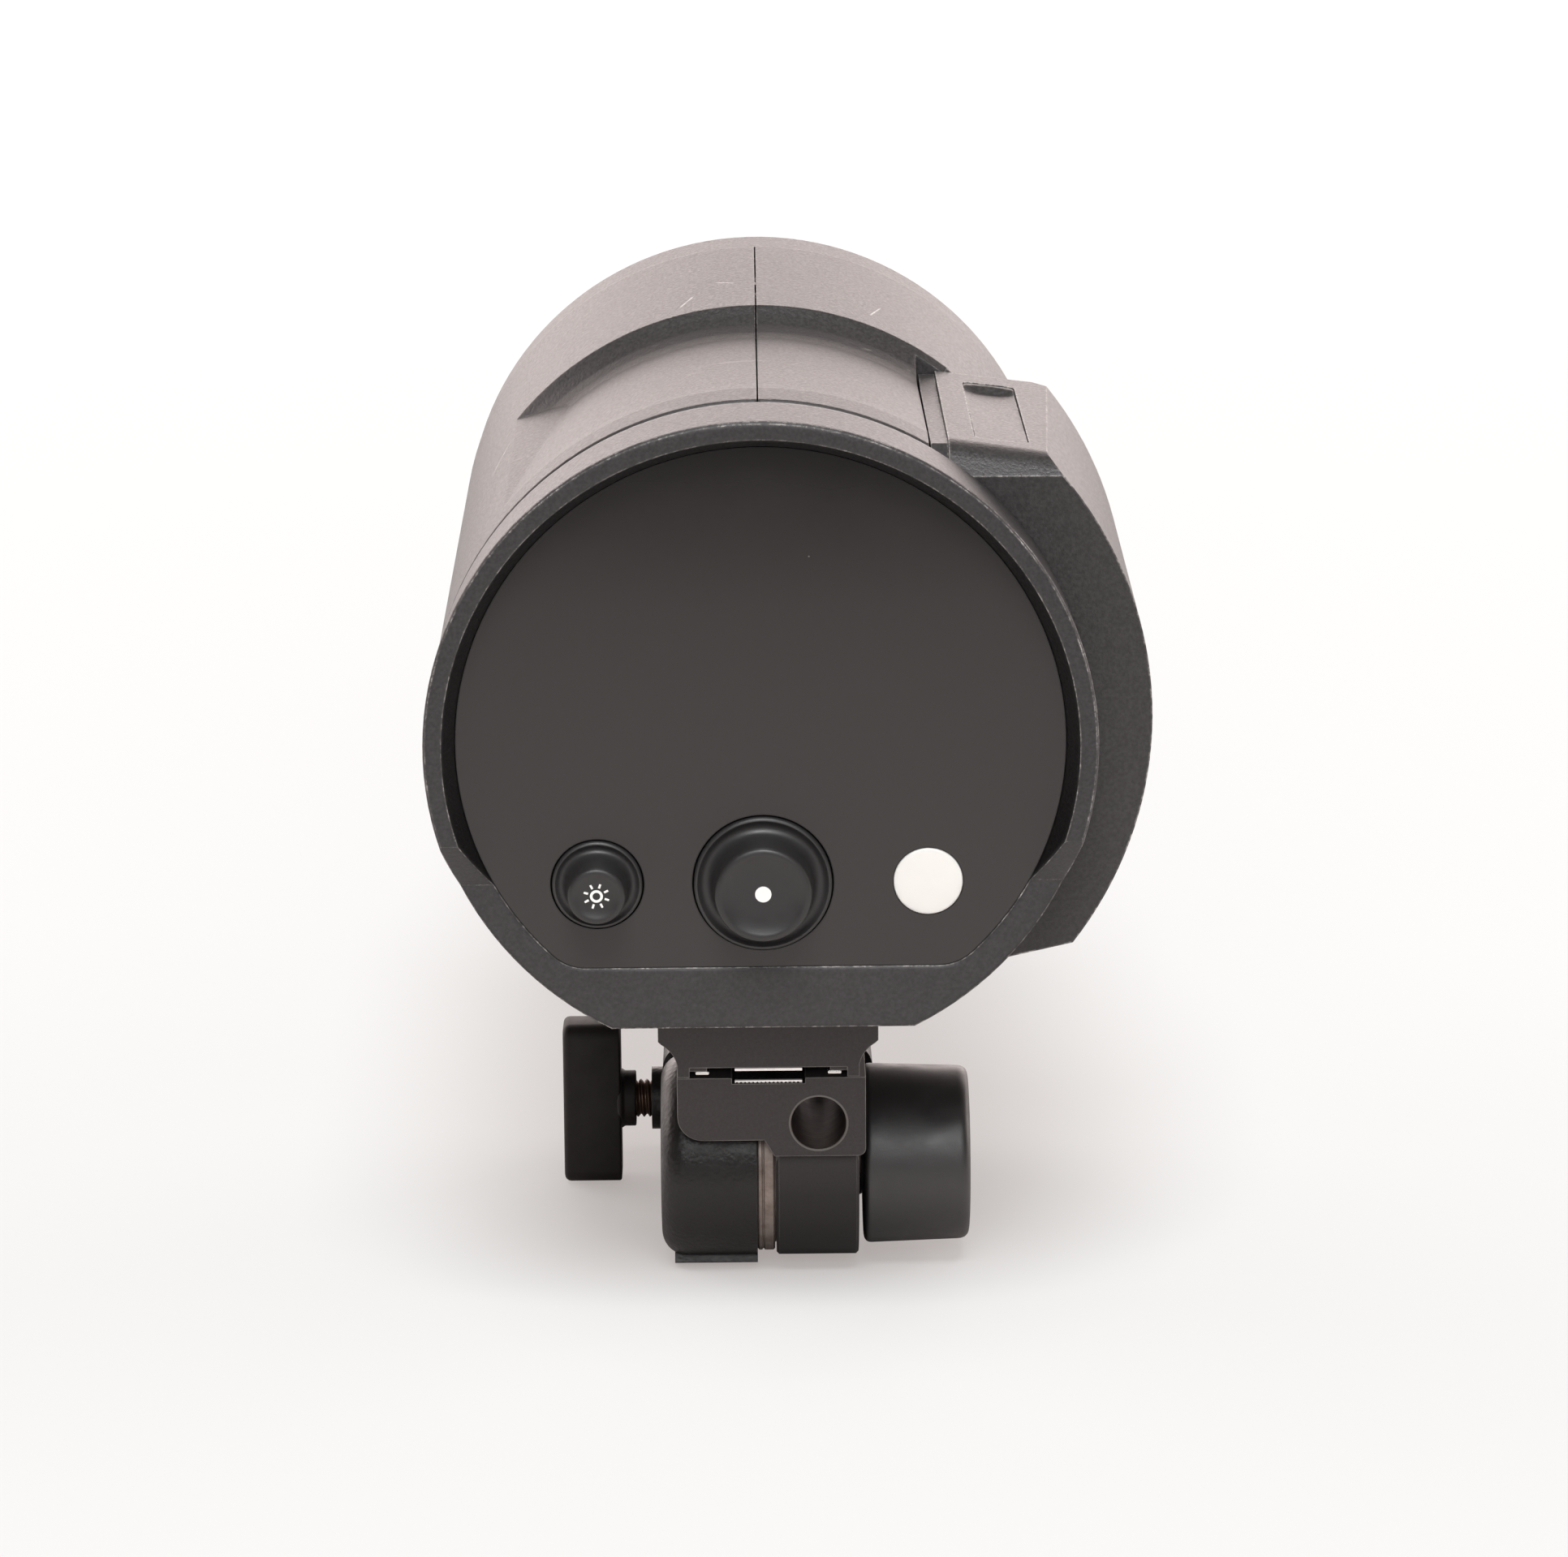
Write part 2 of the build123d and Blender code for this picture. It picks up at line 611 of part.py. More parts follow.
def light_front():
    """Collar, reflector, tubes and front glass."""
    core = collar_radius - collar_rubber
    bore = core - core_wall
    spigot_rear = body_length - 8.0
    keep("collar_core", turned_y([
        (bore, spigot_rear), (core + 3.0, spigot_rear), (core + 3.0, spigot_rear + 2.4),
        (core, spigot_rear + 2.4), (core, collar_front), (bore, collar_front),
    ]))
    rubber = turned_y([
        (core, body_length + 0.2), (collar_radius - 0.6, body_length + 0.2),
        (collar_radius, body_length + 1.2),
        (collar_radius, collar_front - 1.0), (collar_radius - 0.8, collar_front), (core, collar_front),
    ])
    low = collar_radius - groove_depth
    high = collar_radius + 5
    groove = turned_y([(low, 0), (high, 0), (high, groove_width), (low, groove_width)])
    for i in range(groove_count):
        rubber -= Pos(0, body_length + 8.0 + i * groove_pitch, 0) * groove
    keep("mount_collar", rubber)
    bowl_back = collar_front - 2.0 - bowl_depth
    middle = (bowl_front_radius * 2 + bowl_back_radius) / 3
    keep("reflector_bowl", turned_y([
        (bowl_back_radius, bowl_back), (middle + 1.0, bowl_back + bowl_depth * 0.42),
        (bowl_front_radius, collar_front - 2.0), (bore, collar_front - 2.0), (bore, collar_front - 3.2),
        (bowl_front_radius + bowl_wall, collar_front - 3.2), (middle + 2.2, bowl_back + bowl_depth * 0.38),
        (bowl_back_radius + bowl_wall, bowl_back - 1.2), (bowl_back_radius, bowl_back - 1.2),
    ]))
    base = rod_y(bowl_back_radius, bowl_back - base_thickness, bowl_back - 1.0)
    carrier = turned_y([
        (base_radius - 1, bowl_back - base_thickness), (bore, bowl_back - base_thickness),
        (bore, bowl_back - base_thickness - 2.0), (base_radius - 1, bowl_back - base_thickness - 2.0),
    ])
    carrier -= rod_y(4.0, 0, collar_front, 32, 0)
    keep("tube_base", base)
    keep("base_carrier", carrier)
    tube_y = bowl_back + 9.0
    keep("flash_tube", flash_tube(bowl_back - 1.0, tube_y))
    led = rod_y(9.0, bowl_back - 1.0, bowl_back + 1.2)
    led += Pos(0, bowl_back + 1.0, 0) * Rot(-90, 0, 0) * Cone(7.0, 5.0, 3.0,
                                                          align=(Align.CENTER, Align.CENTER, Align.MIN))
    keep("modelling_led", led)
    seat = collar_front + body_gap
    keep("glass_cover", rod_y(cover_radius - 2.5, seat + 1.2, seat + 1.2 + glass_thickness))
    keep("cover_ring", turned_y([
        (cover_radius - 2.5, seat + 1.2 + glass_thickness), (cover_radius - 2.5, seat + 1.2),
        (cover_radius - 5.0, seat + 1.2), (cover_radius - 5.0, seat - 2.0), (bore - running_fit, seat - 2.0),
        (bore - running_fit, seat), (cover_radius - 0.4, seat),
        (cover_radius, seat + 0.5), (cover_radius, seat + cover_length - 1.3),
        (cover_radius - 0.8, seat + cover_length - body_gap),
        (cover_radius - 3.2, seat + cover_length - body_gap),
        (cover_radius - 3.2, seat + 1.2 + glass_thickness),
    ]))


def pack_lean():
    """How the battery's top leans forward and outward, in degrees."""
    return (math.degrees(math.atan(pack_top_slope / (pack_front - pack_rear))),
            math.degrees(math.atan(pack_top_fall / pack_top_width)))


def pack_body(margin):
    """The battery's outer form, drawn in by a margin on every side but the inner one."""
    radius = pack_radius - margin
    low = pack_bottom - margin
    corner_x = pack_radius * math.cos(math.radians(pack_arc))
    rise = pack_bottom - pack_bottom_corner
    front = pack_front - margin
    shoulder = front - pack_front_bevel * 1.5
    body = turned_y([(0, pack_rear + margin), (radius, pack_rear + margin), (radius, shoulder),
                     (radius - pack_front_bevel, front), (0, front)])
    body &= block(pack_seam, 90, 0, body_length, -low, 80)
    under = make_face(Polyline((46.7, -low), (corner_x, -low + rise), (90, -low + rise), (90, -80),
                               (46.7, -80), close=True))
    body -= outline_y(under, 0, body_length)
    slope, fall = pack_lean()
    lid = Rot(-slope, 0, 0) * Rot(0, fall, 0) * block(-100, 100, -200, 200, 0, 60)
    body -= Pos(pack_seam, pack_rear, pack_top_rear - margin) * lid
    edge = pack_rear + margin
    top = pack_top_rear - margin
    wedge = make_face(Polyline((edge - 2, top - pack_rear_bevel - 3), (edge + pack_rear_bevel + 6, top + 5),
                               (edge - 2, top + 5), close=True))
    body -= Pos(30, 0, 0) * extrude(Plane.YZ * wedge, amount=60)
    if margin == 0:
        brow = [line for line in body.edges().filter_by(GeomType.LINE)
                if abs(line.center().Y - pack_rear - pack_rear_bevel) < 1 and line.length > 15]
        body = fillet(brow, pack_top_round)
    return body


def battery():
    """Battery pack: inner tray, outer cover, cells, board and the pressed latch."""
    outer = pack_body(0)
    hollow = pack_body(pack_wall)
    window = block(latch_left, latch_right, latch_rear, latch_front, pack_top_front - 8, pack_radius)
    window = fillet(window.edges().filter_by(Axis.Z), 2.0)
    keep("battery_cover", outer - hollow - window)
    top = pack_top_front - 0.6
    tray = block(pack_inner, pack_seam, pack_rear + 0.8, pack_front - 0.4, -pack_bottom + 0.6, top)
    lean = make_face(Polyline((pack_rear + 0.8, top - 1), (pack_front - 0.4, top - 1),
                              (pack_rear + 7, pack_top_rear - 1.2), (pack_rear + 0.8, top - 0.2), close=True))
    tray += Pos(pack_inner, 0, 0) * extrude(Plane.YZ * lean, amount=tray_thickness)
    tray += block(pack_seam, pack_seam + 1.0, pack_rear + 3, pack_front - 3, -pack_bottom + 3,
                  pack_top_front - 8)
    keep("battery_tray", tray)
    rear = pack_rear + 8.0
    inner_x = pack_seam + 1.0 + cell_radius + 0.1
    places = [(inner_x, (i - 1.5) * cell_pitch) for i in range(4)]
    outer_x = pack_radius - pack_wall - cell_radius - 0.3
    for turn in (-1, 0, 1):
        angle = turn * cell_pitch / outer_x
        places.append((outer_x * math.cos(angle), outer_x * math.sin(angle)))
    cells = [rod_y(cell_radius, rear, rear + cell_length, x, z).solid() for x, z in places]
    keep("battery_cells", Compound(children=cells))
    half = 2 * cell_pitch - 3.4
    front = rear + cell_length
    board = block(pack_seam + 1.0, outer_x, front, front + board_thickness, -half, half)
    keep("battery_board", board)
    margin = latch_fit
    plate = outer - pack_body(latch_thickness)
    trim = block(latch_left + margin, latch_right - margin, latch_rear + margin, latch_front - margin,
                 pack_top_front - 8, pack_radius)
    plate &= fillet(trim.edges().filter_by(Axis.Z), 2.0)
    half = (latch_right - latch_left) / 2
    dish = rod_z(half + 0.6, 0, 10, 0, 0) + block(-half - 1, half + 1, -80, 0, 0, 10)
    slope, fall = pack_lean()
    low = pack_top_rear - pack_top_slope * (latch_front - pack_rear) / (pack_front - pack_rear)
    low -= pack_top_fall * (latch_middle - pack_seam) / pack_top_width + latch_dip
    plate -= Pos(latch_middle, latch_front - half - 1.8, low) * Rot(-slope - 1.7, fall, 0) * dish
    stem = rod_z(latch_stem_radius, spring_low + 2.7, pack_top_front - 0.6, latch_middle, latch_stem_y)
    keep("battery_latch", plate + stem)
    coil = rod_z(spring_radius, spring_low, spring_high, latch_middle, latch_stem_y)
    coil -= rod_z(spring_bore, spring_low - 1, spring_high + 1, latch_middle, latch_stem_y)
    keep("latch_spring", coil)


def battery_contacts():
    """Contact block in the bay wall."""
    return block(bay_left - shell_wall - contact_depth, bay_left + 0.2, contact_rear,
                 contact_rear + contact_length, contact_low, contact_high)


def rail_outline():
    """Cross-section of the foot rail: a wide head and a narrower foot joined by hollow flanks."""
    side = -rail_side
    low = side - rail_groove - 0.6
    right = make_face(
        Line((0, -shell_bottom), (rail_right, -shell_bottom))
        + Line((rail_right, -shell_bottom), (rail_right, side))
        + Line((rail_right, side), (rail_right - 0.6, side - 0.6))
        + RadiusArc((rail_right - 0.6, side - 0.6), (rail_right - rail_step, low), -6.5)
        + Line((rail_right - rail_step, low), (rail_right - rail_step, -rail_bottom))
        + Line((rail_right - rail_step, -rail_bottom), (0, -rail_bottom))
        + Line((0, -rail_bottom), (0, -shell_bottom)))
    left = make_face(
        Line((0, -shell_bottom), (rail_left, -shell_bottom))
        + Line((rail_left, -shell_bottom), (rail_left, side))
        + Line((rail_left, side), (rail_left + 0.6, side - 0.6))
        + RadiusArc((rail_left + 0.6, side - 0.6), (rail_left + rail_step, low), 6.5)
        + Line((rail_left + rail_step, low), (rail_left + rail_step, -rail_bottom))
        + Line((rail_left + rail_step, -rail_bottom), (0, -rail_bottom))
        + Line((0, -rail_bottom), (0, -shell_bottom)))
    return right + left


def rail_parts():
    """Foot rail under the body with its polished lock plate, and the screws that hold the rail."""
    rail = outline_y(rail_outline(), rail_rear, rail_front)
    rail -= block(rail_middle - slit_half, rail_middle + slit_half, 0, body_length, -rail_bottom - 1,
                  -rail_bottom + slit_depth)
    rail += block(rail_middle - slit_half, rail_middle - slit_half + 3.4, rail_rear + 0.6, rail_front,
                  -rail_bottom + 1.1, -rail_bottom + slit_depth)
    rail += block(rail_middle + slit_half - 3.4, rail_middle + slit_half, rail_rear + 0.6, rail_front,
                  -rail_bottom + 1.1, -rail_bottom + slit_depth)
    slot_rear, slot_front = rail_rear + 10, rail_front - 6
    rail -= block(rail_middle - rail_slot_half, rail_middle + rail_slot_half, slot_rear, slot_front,
                  -rail_bottom - 1, -nut_top + 3.5)
    rail -= block(rail_middle - nut_half - body_gap, rail_middle + nut_half + body_gap, slot_rear, slot_front,
                  -nut_top - 4.5, -nut_top + 3.5)
    keep("foot_rail", rail - rail_screw_holes())
    low = -rail_bottom + slit_depth
    plate = block(rail_middle - strip_half, rail_middle + strip_half, rail_rear + 0.4, rail_front - 1,
                  low - strip_thickness, low)
    plate -= block(rail_middle - rail_slot_half, rail_middle + rail_slot_half, slot_rear, slot_front,
                   -rail_bottom - 1, -shell_bottom)
    keep("lock_plate", plate)
    nuts = [block(rail_middle - nut_half, rail_middle + nut_half, y - nut_length / 2, y + nut_length / 2,
                  -nut_top - 4.2, -nut_top) for y in nut_places]
    holes = [rod_z(bracket_screw_radius, -rail_bottom, -shell_bottom, rail_middle, y) for y in nut_places]
    keep("slot_nuts", Compound(children=[(nut - hole).solid() for nut, hole in zip(nuts, holes)]))
    screws = []
    for y in nut_places:
        under = -bracket_top - base_thick
        shank = rod_z(bracket_screw_radius - running_fit, under + bracket_head_height, -nut_top + 0.5,
                      rail_middle, y)
        head = rod_z(bracket_head_radius, under, under + bracket_head_height, rail_middle, y)
        head -= rod_z(1.6, under - 1, under + 1.0, rail_middle, y)
        screws.append((shank + head).solid())
    keep("bracket_screws", Compound(children=screws))
    body_screws = [rod_z(rail_screw_radius, -shell_bottom - 8, -shell_bottom + 4, x, y).solid()
                   for x, y in rail_screw_places()]
    keep("rail_screws", Compound(children=body_screws))


def tilt_bracket():
    """Bracket on the rail: base, rear plate with the umbrella hole, and the hinge knuckle."""
    left = rail_left + 3.6
    right = rail_right - 2.5
    base = block(left, right, rail_rear, bracket_front, -bracket_top - base_thick, -bracket_top)
    face = make_face(Polyline((left, -bracket_top), (right, -bracket_top), (right, -plate_low_right),
                              (washer_right, -plate_low_right), (washer_right - 2, -plate_low_left),
                              (left, -plate_low_left), close=True))
    corners = face.vertices()
    soft = [v for v in corners if v.Y < -bracket_top - 1 and v.X < left + 0.1]
    face = fillet(soft, 5.0)
    soft = [v for v in face.vertices() if v.Y < -plate_low_left - 1 and v.X > right - 0.1]
    face = fillet(soft, 1.6)
    apron = outline_y(face, rail_rear, rail_rear + 3.0)
    plate = outline_y(face, rail_rear, rail_rear + plate_thickness)
    plate &= block(washer_right + body_gap, right + 1, 0, body_length, -plate_low_right - 1, 0)
    neck = block(washer_right + body_gap, knuckle_right, rail_rear + 3, hinge_y + 19.5, -hinge_drop,
                 -bracket_top - 1)
    knuckle = rod_x(hub_radius, washer_right + body_gap, knuckle_right, hinge_y, -hinge_drop)
    rims = knuckle.edges().filter_by(GeomType.CIRCLE)
    knuckle = chamfer(rims, 0.5)
    body = base + apron + plate + neck + knuckle
    body -= rod_y(umbrella_radius, 0, 200, umbrella_x, -umbrella_drop)
    body -= rod_x(bolt_radius + running_fit, -50, 50, hinge_y, -hinge_drop)
    body -= block(rail_middle - strip_half - 0.6, rail_middle + strip_half + 0.6, 0, bracket_front - 20,
                  -bracket_top - channel_depth, 0)
    for y in nut_places:
        body -= rod_z(bracket_screw_radius, -hinge_drop, 0, rail_middle, y)
        body -= rod_z(bracket_head_radius + running_fit, -hinge_drop,
                      -bracket_top - base_thick + bracket_head_height, rail_middle, y)
    return body


def rack_strip():
    """Toothed steel strip in the bracket's top channel."""
    low = -bracket_top - channel_depth
    strip = block(rail_middle - strip_half, rail_middle + strip_half, rail_rear + 0.4, bracket_front - 21,
                  low, low + strip_thickness)
    notch = Rot(0, 45, 0) * Box(tooth_pitch * 0.56, 200, tooth_pitch * 0.56)
    count = int(2 * strip_half / tooth_pitch)
    for i in range(count):
        x = rail_middle - strip_half + (i + 0.5) * tooth_pitch
        strip -= Pos(x, hinge_y, low) * notch
    return strip


def drooped(shape):
    """Turn a shape built straight ahead of the hinge down into the resting place of the arm."""
    about = Pos(0, hinge_y, -hinge_drop)
    return about * Rot(-droop, 0, 0) * Pos(0, -hinge_y, hinge_drop) * shape


def socket_arm():
    """Hinged casting: hub with a resting lip, web, and the block with the stand socket."""
    hub = rod_x(hub_radius, hub_left, hub_right, hinge_y, -hinge_drop)
    rims = hub.edges().filter_by(GeomType.CIRCLE)
    hub = fillet(rims.sort_by(Axis.X)[0], 5.0)
    lip = rod_x(hub_radius + hub_lip + 0.3, hub_left + 2.5, hub_right, hinge_y, -hinge_drop)
    lip &= sector_x(40, hub_left, 0, -90 - 24, -90 + 24)
    end = hinge_y + arm_reach
    head = block(block_left, block_right, hinge_y + block_start, end,
                 -hinge_drop - block_half, -hinge_drop + block_half)
    head = fillet(head.edges().filter_by(Axis.Y), 5.0)
    head = chamfer(head.faces().sort_by(Axis.Y)[-1].edges(), 1.0)
    web = block(block_left, hub_right, hinge_y, hinge_y + block_start + 4,
                -hinge_drop - 13.0, -hinge_drop + 13.0)
    web = fillet(web.edges().filter_by(Axis.Y), 4.0)
    clamp_y = hinge_y + clamp_distance
    boss = rod_x(boss_radius, block_left - boss_reach, block_left + 1, clamp_y, -hinge_drop)
    arm = head + web + boss
    arm -= rod_y(socket_radius, end - socket_depth, end + 1, rail_middle, -hinge_drop)
    arm -= rod_x(clamp_thread_radius + running_fit, block_left - 10, rail_middle, clamp_y, -hinge_drop)
    arm = drooped(arm) + hub + lip
    arm -= rod_x(bolt_radius + running_fit, -50, 50, hinge_y, -hinge_drop)
    arm -= rod_x(bolt_radius + 3.0, hub_left - 1, hub_left + 4.0, hinge_y, -hinge_drop)
    return arm - block(-80, 80, 0, 200, -floor_drop - 20, -floor_drop)


def sector_x(radius, x0, x1, angle0, angle1):
    """A pie slice about the hinge, between two angles from +y towards +z."""
    points = [(0.0, 0.0)]
    for turn in (angle0, (angle0 + angle1) / 2, angle1):
        points.append((radius * math.cos(math.radians(turn)), radius * math.sin(math.radians(turn))))
    face = make_face(Polyline(*points, close=True))
    return Pos(x0, hinge_y, -hinge_drop) * extrude(Plane.YZ * face, amount=x1 - x0)


def friction_washer():
    """Toothed steel washer between the arm and the bracket's knuckle."""
    radius = hub_radius - 0.9
    washer = rod_x(radius, hub_right, washer_right, hinge_y, -hinge_drop)
    washer = chamfer(washer.edges().filter_by(GeomType.CIRCLE), 0.3)
    return washer - rod_x(bolt_radius + running_fit, hub_right - 1, washer_right + 1, hinge_y, -hinge_drop)


def hinge_bolt():
    """Bolt through the arm, the washer and the knuckle, with its head sunk in the arm's hub."""
    bolt = rod_x(bolt_radius, hub_left + 1.2, tilt_knob_left + 14, hinge_y, -hinge_drop)
    head = rod_x(bolt_radius + 2.6, hub_left + 0.4, hub_left + 3.7, hinge_y, -hinge_drop)
    socket = Rot(0, 90, 0) * extrude(RegularPolygon(3.0, 6), amount=2.5)
    return bolt + head - Pos(hub_left + 0.3, hinge_y, -hinge_drop) * socket


def tilt_knob():
    """Round locking knob on the right end of the hinge bolt, with its steel insert."""
    radius = tilt_knob_radius
    small = radius - tilt_knob_taper
    insert = bolt_radius + 3.0
    knob = turned_x([
        (tilt_knob_left, insert), (tilt_knob_left, radius - 1.4), (tilt_knob_left + 1.2, radius),
        (tilt_knob_right - 0.9, small), (tilt_knob_right, small - 0.9), (tilt_knob_right, 12.5),
        (tilt_knob_right - 1.4, 11.5), (tilt_knob_right - 1.4, 0), (tilt_knob_right - 4.4, 0),
        (tilt_knob_left + 16, 0), (tilt_knob_left + 16, insert),
    ], hinge_y, -hinge_drop)
    keep("tilt_knob", knob)
    keep("knob_insert", rod_x(insert, tilt_knob_left - 0.5, tilt_knob_left + 15.9, hinge_y, -hinge_drop)
         - rod_x(bolt_radius + running_fit, 0, tilt_knob_left + 14.6, hinge_y, -hinge_drop))


def clamp_parts():
    """Clamp screw of the stand socket: threaded rod, pressure collar and paddle handle."""
    clamp_y = hinge_y + clamp_distance
    tip = rail_middle - socket_radius - 0.6
    nose = 1.8
    pad = rod_x(clamp_thread_radius - 0.3, tip - 2.6, tip, clamp_y, -hinge_drop)
    pad -= rod_x(nose + running_fit, tip - 3, tip - 0.8, clamp_y, -hinge_drop)
    keep("pressure_pad", drooped(pad))
    rod = rod_x(clamp_thread_radius, hub_start - 9, tip - 2.65, clamp_y, -hinge_drop)
    rod += rod_x(nose, hub_start, tip - 0.9, clamp_y, -hinge_drop)
    ridge = turned_x([(0, clamp_thread_radius - 0.1), (0.5, clamp_thread_radius - 0.65),
                      (0.62, clamp_thread_radius - 0.65), (clamp_pitch - 0.13, clamp_thread_radius - 0.1),
                      (clamp_pitch - 0.13, clamp_thread_radius + 1), (0, clamp_thread_radius + 1)],
                     clamp_y, -hinge_drop)
    count = int((block_left - boss_reach + 1 - hub_end) / clamp_pitch) + 2
    for i in range(count):
        rod -= Pos(hub_end + i * clamp_pitch, 0, 0) * ridge
    keep("clamp_screw", drooped(rod))
    paddle = block(paddle_left, hub_start, clamp_y - paddle_depth / 2, clamp_y + paddle_depth / 2,
                   -hinge_drop - paddle_length / 2, -hinge_drop + paddle_length / 2)
    paddle = fillet(paddle.edges().filter_by(Axis.X), 2.6)
    paddle = chamfer(paddle.faces().sort_by(Axis.X)[0].edges(), 0.9)
    hub = rod_x(5.8, hub_start - 0.5, hub_end, clamp_y, -hinge_drop)
    handle = paddle + hub
    handle -= rod_x(clamp_thread_radius, hub_start - 9, hub_end + 1, clamp_y, -hinge_drop)
    keep("t_handle", drooped(handle))
    bush = rod_x(clamp_thread_radius + 1.6, block_left + 2, block_left + 9, clamp_y, -hinge_drop)
    bush -= rod_x(clamp_thread_radius + running_fit, block_left, block_left + 10, clamp_y, -hinge_drop)
    keep("thread_bush", drooped(bush))
    return drooped(rod_x(clamp_thread_radius + 1.6, block_left + 2, block_left + 9, clamp_y, -hinge_drop))


def build():
    """Make every piece, in the order of a bench assembly."""
    keep("rear_bezel", rear_bezel())
    keep("display_panel", display_panel())
    keep("control_knob", control_knob())
    keep("knob_dot", knob_dot())
    keep("knob_plunger", knob_plunger())
    keep("model_button", model_button())
    keep("sensor_window", sensor_window())
    rear_electronics()
    body = shell_body()
    contacts = battery_contacts()
    keep("left_shell", left_shell(body))
    keep("right_shell", right_shell(body) - contacts)
    keep("battery_contacts", contacts)
    keep("front_ring", front_ring())
    keep("chassis", chassis())
    power_section()
    fan()
    light_front()
    battery()
    rail_parts()
    keep("tilt_bracket", tilt_bracket())
    keep("rack_strip", rack_strip())
    keep("friction_washer", friction_washer())
    keep("hinge_bolt", hinge_bolt())
    tilt_knob()
    bush_hole = clamp_parts()
    keep("socket_arm", socket_arm() - bush_hole)


build()
os.makedirs("parts", exist_ok=True)
for name, shape in parts.items():
    export_step(Pos(shift_x, shift_y, shift_z) * shape, f"parts/{name}.step")
    print(name, len(shape.solids()))
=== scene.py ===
"""Looks of a portable studio flash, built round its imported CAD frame.

Every size is in metres in the row frame, unless its name or its class says millimetres. The head axis
runs along +Y, the rear rim is a circle about it, and the flash rests on its folded stand adapter.
"""

import logging
import math
from dataclasses import dataclass
from enum import Enum
from typing import Dict, List, Sequence, Tuple, Union

import bmesh
import bpy
from mathutils import Matrix, Vector
from mathutils.geometry import interpolate_bezier


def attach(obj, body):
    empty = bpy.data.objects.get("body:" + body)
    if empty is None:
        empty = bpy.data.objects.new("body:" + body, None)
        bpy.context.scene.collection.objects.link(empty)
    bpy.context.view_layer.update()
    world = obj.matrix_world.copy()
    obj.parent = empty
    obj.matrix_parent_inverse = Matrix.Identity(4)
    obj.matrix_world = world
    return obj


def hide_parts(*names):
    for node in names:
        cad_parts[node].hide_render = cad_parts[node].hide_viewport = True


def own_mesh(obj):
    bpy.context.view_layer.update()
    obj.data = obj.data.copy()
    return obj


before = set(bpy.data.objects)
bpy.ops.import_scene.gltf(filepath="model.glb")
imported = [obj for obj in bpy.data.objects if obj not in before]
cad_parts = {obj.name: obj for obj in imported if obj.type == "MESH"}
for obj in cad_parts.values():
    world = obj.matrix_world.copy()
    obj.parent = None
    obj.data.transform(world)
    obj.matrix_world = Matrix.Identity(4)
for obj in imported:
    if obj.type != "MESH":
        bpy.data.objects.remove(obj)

LOG = logging.getLogger("studio_flash")
MM = 0.001
# Two points as near as this are as good as one.
TOUCH = 0.001 * MM
# An edge that turns more than this is a corner of the shape, and not a step of its roundness.
CORNER_TURN = math.radians(14.0)
# From the row frame's origin to the centre of the rear rim, and from there to the hinge.
HEAD_SHIFT_MM = Vector((-5.65, -120.4, 123.3))
HINGE_MM = Vector((0.0, 60.0, -101.8))
# How far the head, and so the arm that lies along it, droops from level.
DROOP = math.radians(4.78)

Point = Tuple[float, float]
Place = Tuple[float, float, float]
Colour = Tuple[float, float, float, float]
Tree = bpy.types.NodeTree
Socket = bpy.types.NodeSocket
Feed = Union[float, Sequence[float], bpy.types.NodeSocket, bpy.types.Node]


class Axis(Enum):
    """The row axes that pieces are turned about."""

    X = Vector((1.0, 0.0, 0.0))
    Y = Vector((0.0, 1.0, 0.0))
    Z = Vector((0.0, 0.0, 1.0))


def head(x: float, y: float, z: float) -> Vector:
    """Turn a place measured from the rear rim's centre, in millimetres, into the row frame in metres."""
    return (Vector((x, y, z)) + HEAD_SHIFT_MM) * MM


def linear(hex_colour: str, share: float = 1.0) -> Colour:
    """Turn an sRGB hex colour into the linear colour that a shader takes.

    Args:
        hex_colour: six hex digits.
        share: how bright the result is beside the colour as written.

    Returns:
        Red, green, blue and alpha.
    """
    channels = [int(hex_colour[start:start + 2], 16) / 255.0 for start in (0, 2, 4)]
    red, green, blue = (share * (value / 12.92 if value <= 0.04045 else ((value + 0.055) / 1.055) ** 2.4)
                        for value in channels)
    return (red, green, blue, 1.0)


# Inputs given in their order read like this: a noise takes its place, scale, detail and roughness; a map
# takes its value, the range that it comes from and the range that it goes to; a mix takes the second
# one's share and then both; a bevel takes its radius. The numbers after a noise's scale say how many
# finer layers lie on it and how strong they are.
def add_node(tree: Tree, kind: str, inputs: Union[Dict[str, Feed], Sequence[Feed]] = (),
             **settings: object) -> bpy.types.Node:
    """Add one node with its settings and its links.

    Args:
        tree: the node tree that gets the node.
        kind: the node's type, without the ShaderNode that starts all their names.
        inputs: what its inputs take, by name or in their order. Each is a value, an output socket, or a
            node whose first output in use feeds it.
        settings: the node's own settings.

    Returns:
        The new node.
    """
    node = tree.nodes.new("ShaderNode" + kind)
    for name, value in settings.items():
        setattr(node, name, value)
    sockets = [socket for socket in node.inputs if socket.enabled]
    names = [socket.name for socket in sockets]
    for key, value in inputs.items() if isinstance(inputs, dict) else enumerate(inputs):
        socket = sockets[names.index(key) if isinstance(key, str) else key]
        if isinstance(value, bpy.types.Node):
            value = next(output for output in value.outputs if output.enabled)
        if isinstance(value, bpy.types.NodeSocket):
            tree.links.new(value, socket)
        else:
            socket.default_value = value
    return node


def per_metre(size_mm: float) -> float:
    """Give the scale at which a pattern's features are about a real size."""
    return 1.0 / (size_mm * MM)


# A noise lies mostly in this range, so a map from it uses the whole of what it drives.
NOISE_SPAN = (0.3, 0.7)
# The turn of the surface, as one less the cosine, that counts as a whole edge.
EDGE_TURN = 0.06


